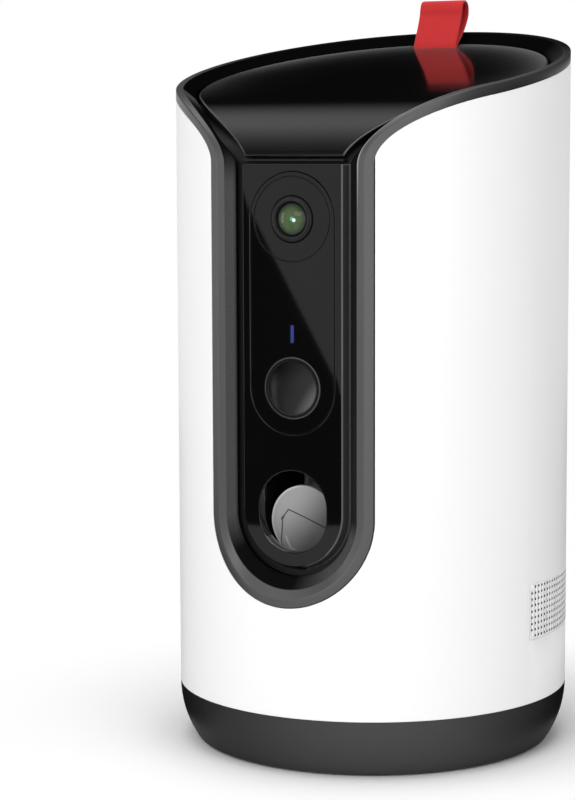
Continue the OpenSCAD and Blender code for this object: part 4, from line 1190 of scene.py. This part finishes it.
class PETCAM_OT_lid(BuildStep):
    """Folds the glossy lid down its front and rounds its edge"""

    bl_idname = "pet_camera.lid"
    bl_label = "Lid"

    ROUND_STATIONS = 96
    FRONT_STATIONS = 40
    EDGE_RADIUS = 0.7 * MM
    THICK = 2.0 * MM
    RIB = (54.5 * MM, 52.5 * MM)

    def make(self, context):
        s = sizes()
        line = side_curve(
            s.lid_drop, s.lid_bend, s.lid_bend_end, s.lid_front, s.lid_low,
            self.FRONT_STATIONS)
        back = -s.lid_radius - 3 * MM
        self.rail = [Vector((back, rim_plane(back, s.lid_drop))), *line]
        self.runs = [0.0]
        for a, b in zip(self.rail, self.rail[1:]):
            self.runs.append(self.runs[-1] + (b - a).length)
        outline = self.outline()
        rows = [[self.fold(p, fall) for p in self.inset(outline, reach)]
                for reach, fall in self.section()]
        bm, rings = skin(rows, layers=["edge"])
        edge = bm.verts.layers.float["edge"]
        # painted highlight: the rounded edge's rows at the sides carry the line of light that
        # gloss_black draws
        for vert in sum(rings[4:8], []):
            vert[edge] = float(abs(vert.co.x) > s.lid_half + 0.1 * MM)
        half = len(outline) // 2
        for ring in (rings[0], rings[-1]):
            edges = ring_edges(ring)
            bmesh.ops.bridge_loops(bm, edges=edges[:half - 1] + edges[half:-1])
        piece("lid_cover", bm, "lid", "gloss_black", ["lid"], even=False)
        self.rib(s)

    def outline(self):
        """The lid laid flat, as (across, along its side curve), from the back tip round."""
        s = sizes()
        first = radians(178.5)
        turns = [first - (first - s.lid_turn) * i / self.ROUND_STATIONS
                 for i in range(self.ROUND_STATIONS + 1)]
        right = [Vector((s.lid_radius * sin(a), self.along(s.lid_radius * cos(a))))
                 for a in turns]
        start = s.lid_radius * cos(s.lid_turn)
        widening = hypot(s.lid_front, s.lid_half) - s.lid_radius
        for spot, run in zip(self.rail, self.runs):
            if spot.x > start + 0.1 * MM:
                share = (spot.x - start) / (s.lid_front - start)
                radius = s.lid_radius + widening * share ** 1.7
                right.append(Vector((chord(radius, spot.x), run)))
        return right + [Vector((-p.x, p.y)) for p in reversed(right)]

    def along(self, forward):
        """Distance along the side curve at a distance forward."""
        for a, b, run in zip(self.rail, self.rail[1:], self.runs):
            if forward <= b.x:
                return run + (b - a).length * (forward - a.x) / (b.x - a.x)
        return self.runs[-1]

    def fold(self, spot, fall):
        """The place of a point of the flat outline, a fall under the lid's face."""
        i = 0
        while i < len(self.rail) - 2 and self.runs[i + 1] < spot.y:
            i += 1
        a, b = self.rail[i], self.rail[i + 1]
        share = (spot.y - self.runs[i]) / (self.runs[i + 1] - self.runs[i])
        here = a.lerp(b, share)
        way = self.way(i).lerp(self.way(i + 1), clamp(share)).normalized()
        return Vector((spot.x, -here.x + way.y * -fall, here.y - way.x * fall))

    def way(self, i):
        """Direction of the side curve at a station, as (forward, up)."""
        first, last = max(0, i - 1), min(len(self.rail) - 1, i + 1)
        if i <= 1:
            first, last = 0, 1
        return (self.rail[last] - self.rail[first]).normalized()

    def inset(self, outline, reach):
        """The outline moved in by a distance, with its corners mitred."""
        moved = []
        for a, b, c in zip(outline[-1:] + outline[:-1], outline, outline[1:] + outline[:1]):
            before, after = (b - a).normalized(), (c - b).normalized()
            n1, n2 = Vector((-before.y, before.x)), Vector((-after.y, after.x))
            moved.append(b + (n1 + n2) * (reach / (1 + n1.dot(n2))))
        return moved

    def section(self):
        """The lid's edge as (inset, fall), from its face over the edge to its underside."""
        r = self.EDGE_RADIUS
        turns = [pi / 2 * i / 8 for i in range(9)]
        return [(1.6 * MM, 0.0), (r + 0.15 * MM, 0.0),
                *[(r * (1 - sin(a)), r * (1 - cos(a))) for a in turns],
                (0.0, self.THICK - 0.2 * MM), (0.2 * MM, self.THICK),
                (0.6 * MM, self.THICK)]

    def rib(self, s):
        """The rib that locates the lid inside the frame."""
        first = acos(s.lid_bend / self.RIB[0])
        rows = []
        for i in range(97):
            turn = first + (2 * pi - 2 * first) * i / 96
            row = []
            for radius, drop in (
                    (self.RIB[0], s.lid_drop + self.THICK), (self.RIB[0], s.floor_drop),
                    (self.RIB[1], s.floor_drop), (self.RIB[1], s.lid_drop + self.THICK)):
                at = radius * cos(turn)
                row.append(Vector((radius * sin(turn), -at, rim_plane(at, drop))))
            rows.append(row)
        bm, rings = skin(rows)
        fill_ends(bm, rings)
        bevel(bm, sharp_edges(bm), 0.2 * MM, 2)
        piece("lid_rib", bm, "lid", "gloss_black")


class PETCAM_OT_pull_tab(BuildStep):
    """Folds the red webbing into the pull tab's loop"""

    bl_idname = "pet_camera.pull_tab"
    bl_label = "Pull tab"

    # Side view of the webbing's middle line, from the slot in the lid round the loop and
    # back, as millimetres (behind the slot, above the slot)
    ROUTE = [
        (-0.4, -2.2), (-0.3, 0.3), (0.9, 3.4), (2.9, 7.4), (4.5, 11.2), (5.0, 13.6),
        (5.9, 15.7), (7.9, 16.4), (9.9, 15.5), (10.6, 13.4), (10.0, 10.8), (7.6, 7.4),
        (4.6, 4.2), (1.9, 1.9), (0.6, 0.2), (0.45, -2.2)]
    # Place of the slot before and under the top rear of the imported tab
    SLOT = (0, 11.4 * MM, 18.0 * MM)
    STEPS = 12
    EDGE_STEPS = 6
    RIBS = 14

    def make(self, context):
        s = sizes()
        slot = high("lid_pull_tab") - Vector(self.SLOT)
        route = [Vector((0, slot.y + back * MM, slot.z + up * MM)) for back, up in self.ROUTE]
        line = self.smooth(route)
        half = s.tab_width / 2 - s.tab_thick / 2
        thin = s.tab_thick / 2
        rows = []
        for i, point in enumerate(line):
            way = (line[min(i + 1, len(line) - 1)] - line[max(i - 1, 0)]).normalized()
            out = Vector((0, -way.z, way.y))
            rows.append(self.section(point, out, half, thin))
        bm, rings = skin(rows, layers=["along", "across"])
        fill_ends(bm, rings)
        along = bm.verts.layers.float["along"]
        across = bm.verts.layers.float["across"]
        run = 0.0
        for i, ring in enumerate(rings):
            if i:
                run += (line[i] - line[i - 1]).length
            for vert in ring:
                vert[along] = run
                vert[across] = vert.co.x
        piece("pull_tab", bm, "lid", "red_webbing", ["lid_pull_tab"], even=False)

    def smooth(self, points):
        """A smooth line through the points."""
        ends = [2 * points[0] - points[1], *points, 2 * points[-1] - points[-2]]
        line = []
        for a, b, c, d in zip(ends, ends[1:], ends[2:], ends[3:]):
            for i in range(self.STEPS):
                t = i / self.STEPS
                line.append(0.5 * (2 * b + (c - a) * t + (2 * a - 5 * b + 4 * c - d) * t ** 2
                                   + (3 * b - a - 3 * c + d) * t ** 3))
        return line + [points[-1]]

    def section(self, point, out, half, thin):
        """Flat section of the webbing, with ribs and round selvedges."""
        side = Vector((1, 0, 0))
        ring = []
        for face in (1, -1):
            for i in range(self.EDGE_STEPS):
                turn = pi * i / self.EDGE_STEPS
                ring.append(point + face * (
                    side * (half + thin * sin(turn)) + out * thin * cos(turn)))
            for i in range(self.RIBS):
                x = half - 2 * half * i / self.RIBS
                ring.append(point + face * (side * x - out * thin))
        return ring


class PETCAM_OT_panel(BuildStep):
    """Polishes the front panel, its smoked window and the status light"""

    bl_idname = "pet_camera.panel"
    bl_label = "Front panel"
    ROUNDED = (
        ("window", "sensor_window", "tower", "gloss_black", 0.1 * MM, "panel_black"),
        ("frame_tray", "inner_frame", "tower", "matte_black", 0.2 * MM),
        ("light_pipe", "status_light_pipe", "tower", "status_blue", 0.12 * MM))

    def make(self, context):
        softened("panel", "front_panel", "tower", "gloss_black", 0.35 * MM, "panel_black",
                 paint=("chamfer", self.chamfer))

    def chamfer(self, face):
        """Strength of the painted sheen on the panel's right chamfer, most on its narrow edge.
        """
        n, spot = face.normal, face.calc_center_median()
        if n.x < 0.15 or abs(n.y) > 0.985 or spot.x < 15 * MM and spot.z > 75 * MM:
            return 0.0
        width = face.calc_area() / max(e.calc_length() for e in face.edges)
        return 0.55 if width < 0.3 * MM else 0.22


class PETCAM_OT_lens(BuildStep):
    """Turns the camera's lens ring and its coated glass"""

    bl_idname = "pet_camera.lens"
    bl_label = "Camera lens"

    def make(self, context):
        radius, front, centre = seat("lens_ring")
        glass, glass_depth, glass_centre = seat("lens_glass")
        bore, ledge = glass - 0.6 * MM, front - 1.8 * MM
        shoulder = front - 0.6 * MM
        step = radius - 0.9 * MM
        soft = 0.18 * MM
        profile = [(bore, 0), (radius, 0), (radius, shoulder - soft)]
        profile += rounded((radius - soft, shoulder - soft), soft, 0)
        profile += [(step, shoulder), (step, front - soft)]
        profile += rounded((step - soft, front - soft), soft, 0)
        profile += [(glass + 0.9 * MM, front), (glass + 0.25 * MM, front - 0.75 * MM)]
        profile += [(glass, front - 1.2 * MM), (glass, ledge), (bore, ledge), (bore, 0)]
        piece("lens_bezel", lathe(profile, centre), "tower", "satin_black", ["lens_ring"],
              look="bezel_black")
        profile = [(0, 0), (glass, 0), *cap(glass, 0.9 * MM, glass_depth, 18)]
        piece("lens_front_glass", lathe(profile, glass_centre), "tower", "lens_glass",
              ["lens_glass"], even=False)


class PETCAM_OT_sensor(BuildStep):
    """Turns the motion sensor's ring and dome"""

    bl_idname = "pet_camera.sensor"
    bl_label = "Motion sensor"

    def make(self, context):
        radius, depth, centre = seat("motion_sensor_ring")
        dome, dome_depth, dome_centre = seat("motion_sensor_dome")
        soft = 0.3 * MM
        inner, bore, ledge = dome + 0.05 * MM, dome - 1 * MM, depth - 1 * MM
        profile = [(bore, 0), (radius, 0), (radius, depth - soft)]
        profile += rounded((radius - soft, depth - soft), soft, 0)
        profile += rounded((inner + soft, depth - soft), soft, 90)
        profile += [(inner, ledge), (bore, ledge), (bore, 0)]
        piece("sensor_ring", lathe(profile, centre), "tower", "satin_black",
              ["motion_sensor_ring"], look="ring_black")
        outer = cap(dome, sizes().dome_height, dome_depth, 36)
        wall = 1.2 * MM
        inside = [(r * (1 - wall / dome), h - wall) for r, h in outer]
        profile = outer[::-1] + [(dome, 0), (inside[0][0], 0)]
        profile += [point for point in inside if point[1] > 0]
        piece("sensor_dome", lathe(profile, dome_centre), "tower", "satin_black",
              ["motion_sensor_dome"], even=False, look="dome_black")


class PETCAM_OT_base(BuildStep):
    """Rounds the edges of the base, its bottom plate and its feet"""

    bl_idname = "pet_camera.base"
    bl_label = "Base"
    ROUNDED = (
        ("base_tub", "base", "tower", "base_grey", 0.2 * MM),
        ("bottom_plate", "base_plate", "tower", "base_grey", 0.2 * MM),
        ("feet", "rubber_feet", "tower", "rubber_black", 0.35 * MM))


class PETCAM_OT_grille(BuildStep):
    """Seats the speaker grille flush in the shell and marks its holes' walls for painted shade
    """

    bl_idname = "pet_camera.grille"
    bl_label = "Speaker grille"

    def make(self, context):
        bm = solid_copy("speaker_grille")
        hole = bm.faces.layers.float.new("hole")
        lo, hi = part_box("speaker_grille")
        middle = (lo + hi) / 2
        border = sizes().grille_gap
        # painted shade: faces of the holes' walls, drawn darker by grille_white
        for face in bm.faces:
            spot = face.calc_center_median()
            way = Vector((spot.x, spot.y, 0)).normalized()
            inside = lo.z + border < spot.z < hi.z - border
            face[hole] = float(abs(face.normal.dot(way)) < 0.6 and inside)
        grow_y = 1 + border / (hi.y - lo.y)
        grow_z = 1 + border / (hi.z - lo.z)
        bmesh.ops.scale(
            bm, verts=bm.verts, vec=(1, grow_y, grow_z),
            space=Matrix.Translation(-middle))
        piece("grille", bm, "tower", "white_shell", ["speaker_grille"], even=False,
              look="grille_white")


class PETCAM_OT_rear(BuildStep):
    """Rounds the reset button and the power inlet"""

    bl_idname = "pet_camera.rear"
    bl_label = "Rear sockets"
    ROUNDED = (
        ("button_cap", "reset_button", "reset_button", "base_grey", 0.25 * MM),
        ("inlet_shell", "usb_inlet", "tower", "steel", 0.05 * MM))


class PETCAM_OT_paddle(BuildStep):
    """Rounds the toss paddle and the housing behind the port"""

    bl_idname = "pet_camera.paddle"
    bl_label = "Toss paddle"
    ROUNDED = (
        ("paddle", "toss_paddle", "toss_paddle", "paddle_grey", 0.3 * MM),
        ("launcher_box", "launcher_housing", "tower", "matte_black", 0.2 * MM, "port_black"))


STEPS = (
    PETCAM_OT_stage, PETCAM_OT_finishes, PETCAM_OT_shell, PETCAM_OT_collar, PETCAM_OT_lid,
    PETCAM_OT_pull_tab, PETCAM_OT_panel, PETCAM_OT_lens, PETCAM_OT_sensor, PETCAM_OT_base,
    PETCAM_OT_grille, PETCAM_OT_rear, PETCAM_OT_paddle)


class PETCAM_PT_steps(bpy.types.Panel):
    """Lists the pet camera's sizes, colours and steps"""

    bl_idname = "PETCAM_PT_steps"
    bl_label = "Treat tossing pet camera"
    bl_space_type = "VIEW_3D"
    bl_region_type = "UI"
    bl_category = "Pet Camera"

    def draw(self, context):
        layout = self.layout
        for group in (context.scene.pet_camera_sizes, context.scene.pet_camera_colours,
                      context.scene.pet_camera_stage):
            box = layout.box()
            for name in group.__annotations__:
                box.prop(group, name)
        for step in STEPS:
            layout.operator(step.bl_idname)


GROUPS = {
    "pet_camera_sizes": PetCameraSizes,
    "pet_camera_colours": PetCameraColours,
    "pet_camera_stage": PetCameraStage,
}


def register():
    for name, group in GROUPS.items():
        bpy.utils.register_class(group)
        setattr(bpy.types.Scene, name, bpy.props.PointerProperty(type=group))
    for step in STEPS:
        bpy.utils.register_class(step)
    bpy.utils.register_class(PETCAM_PT_steps)


def unregister():
    bpy.utils.unregister_class(PETCAM_PT_steps)
    for step in reversed(STEPS):
        bpy.utils.unregister_class(step)
    for name, group in GROUPS.items():
        delattr(bpy.types.Scene, name)
        bpy.utils.unregister_class(group)


def main():
    register()
    for step in STEPS:
        group, name = step.bl_idname.split(".")
        getattr(getattr(bpy.ops, group), name)()


if __name__ == "__main__":
    main()
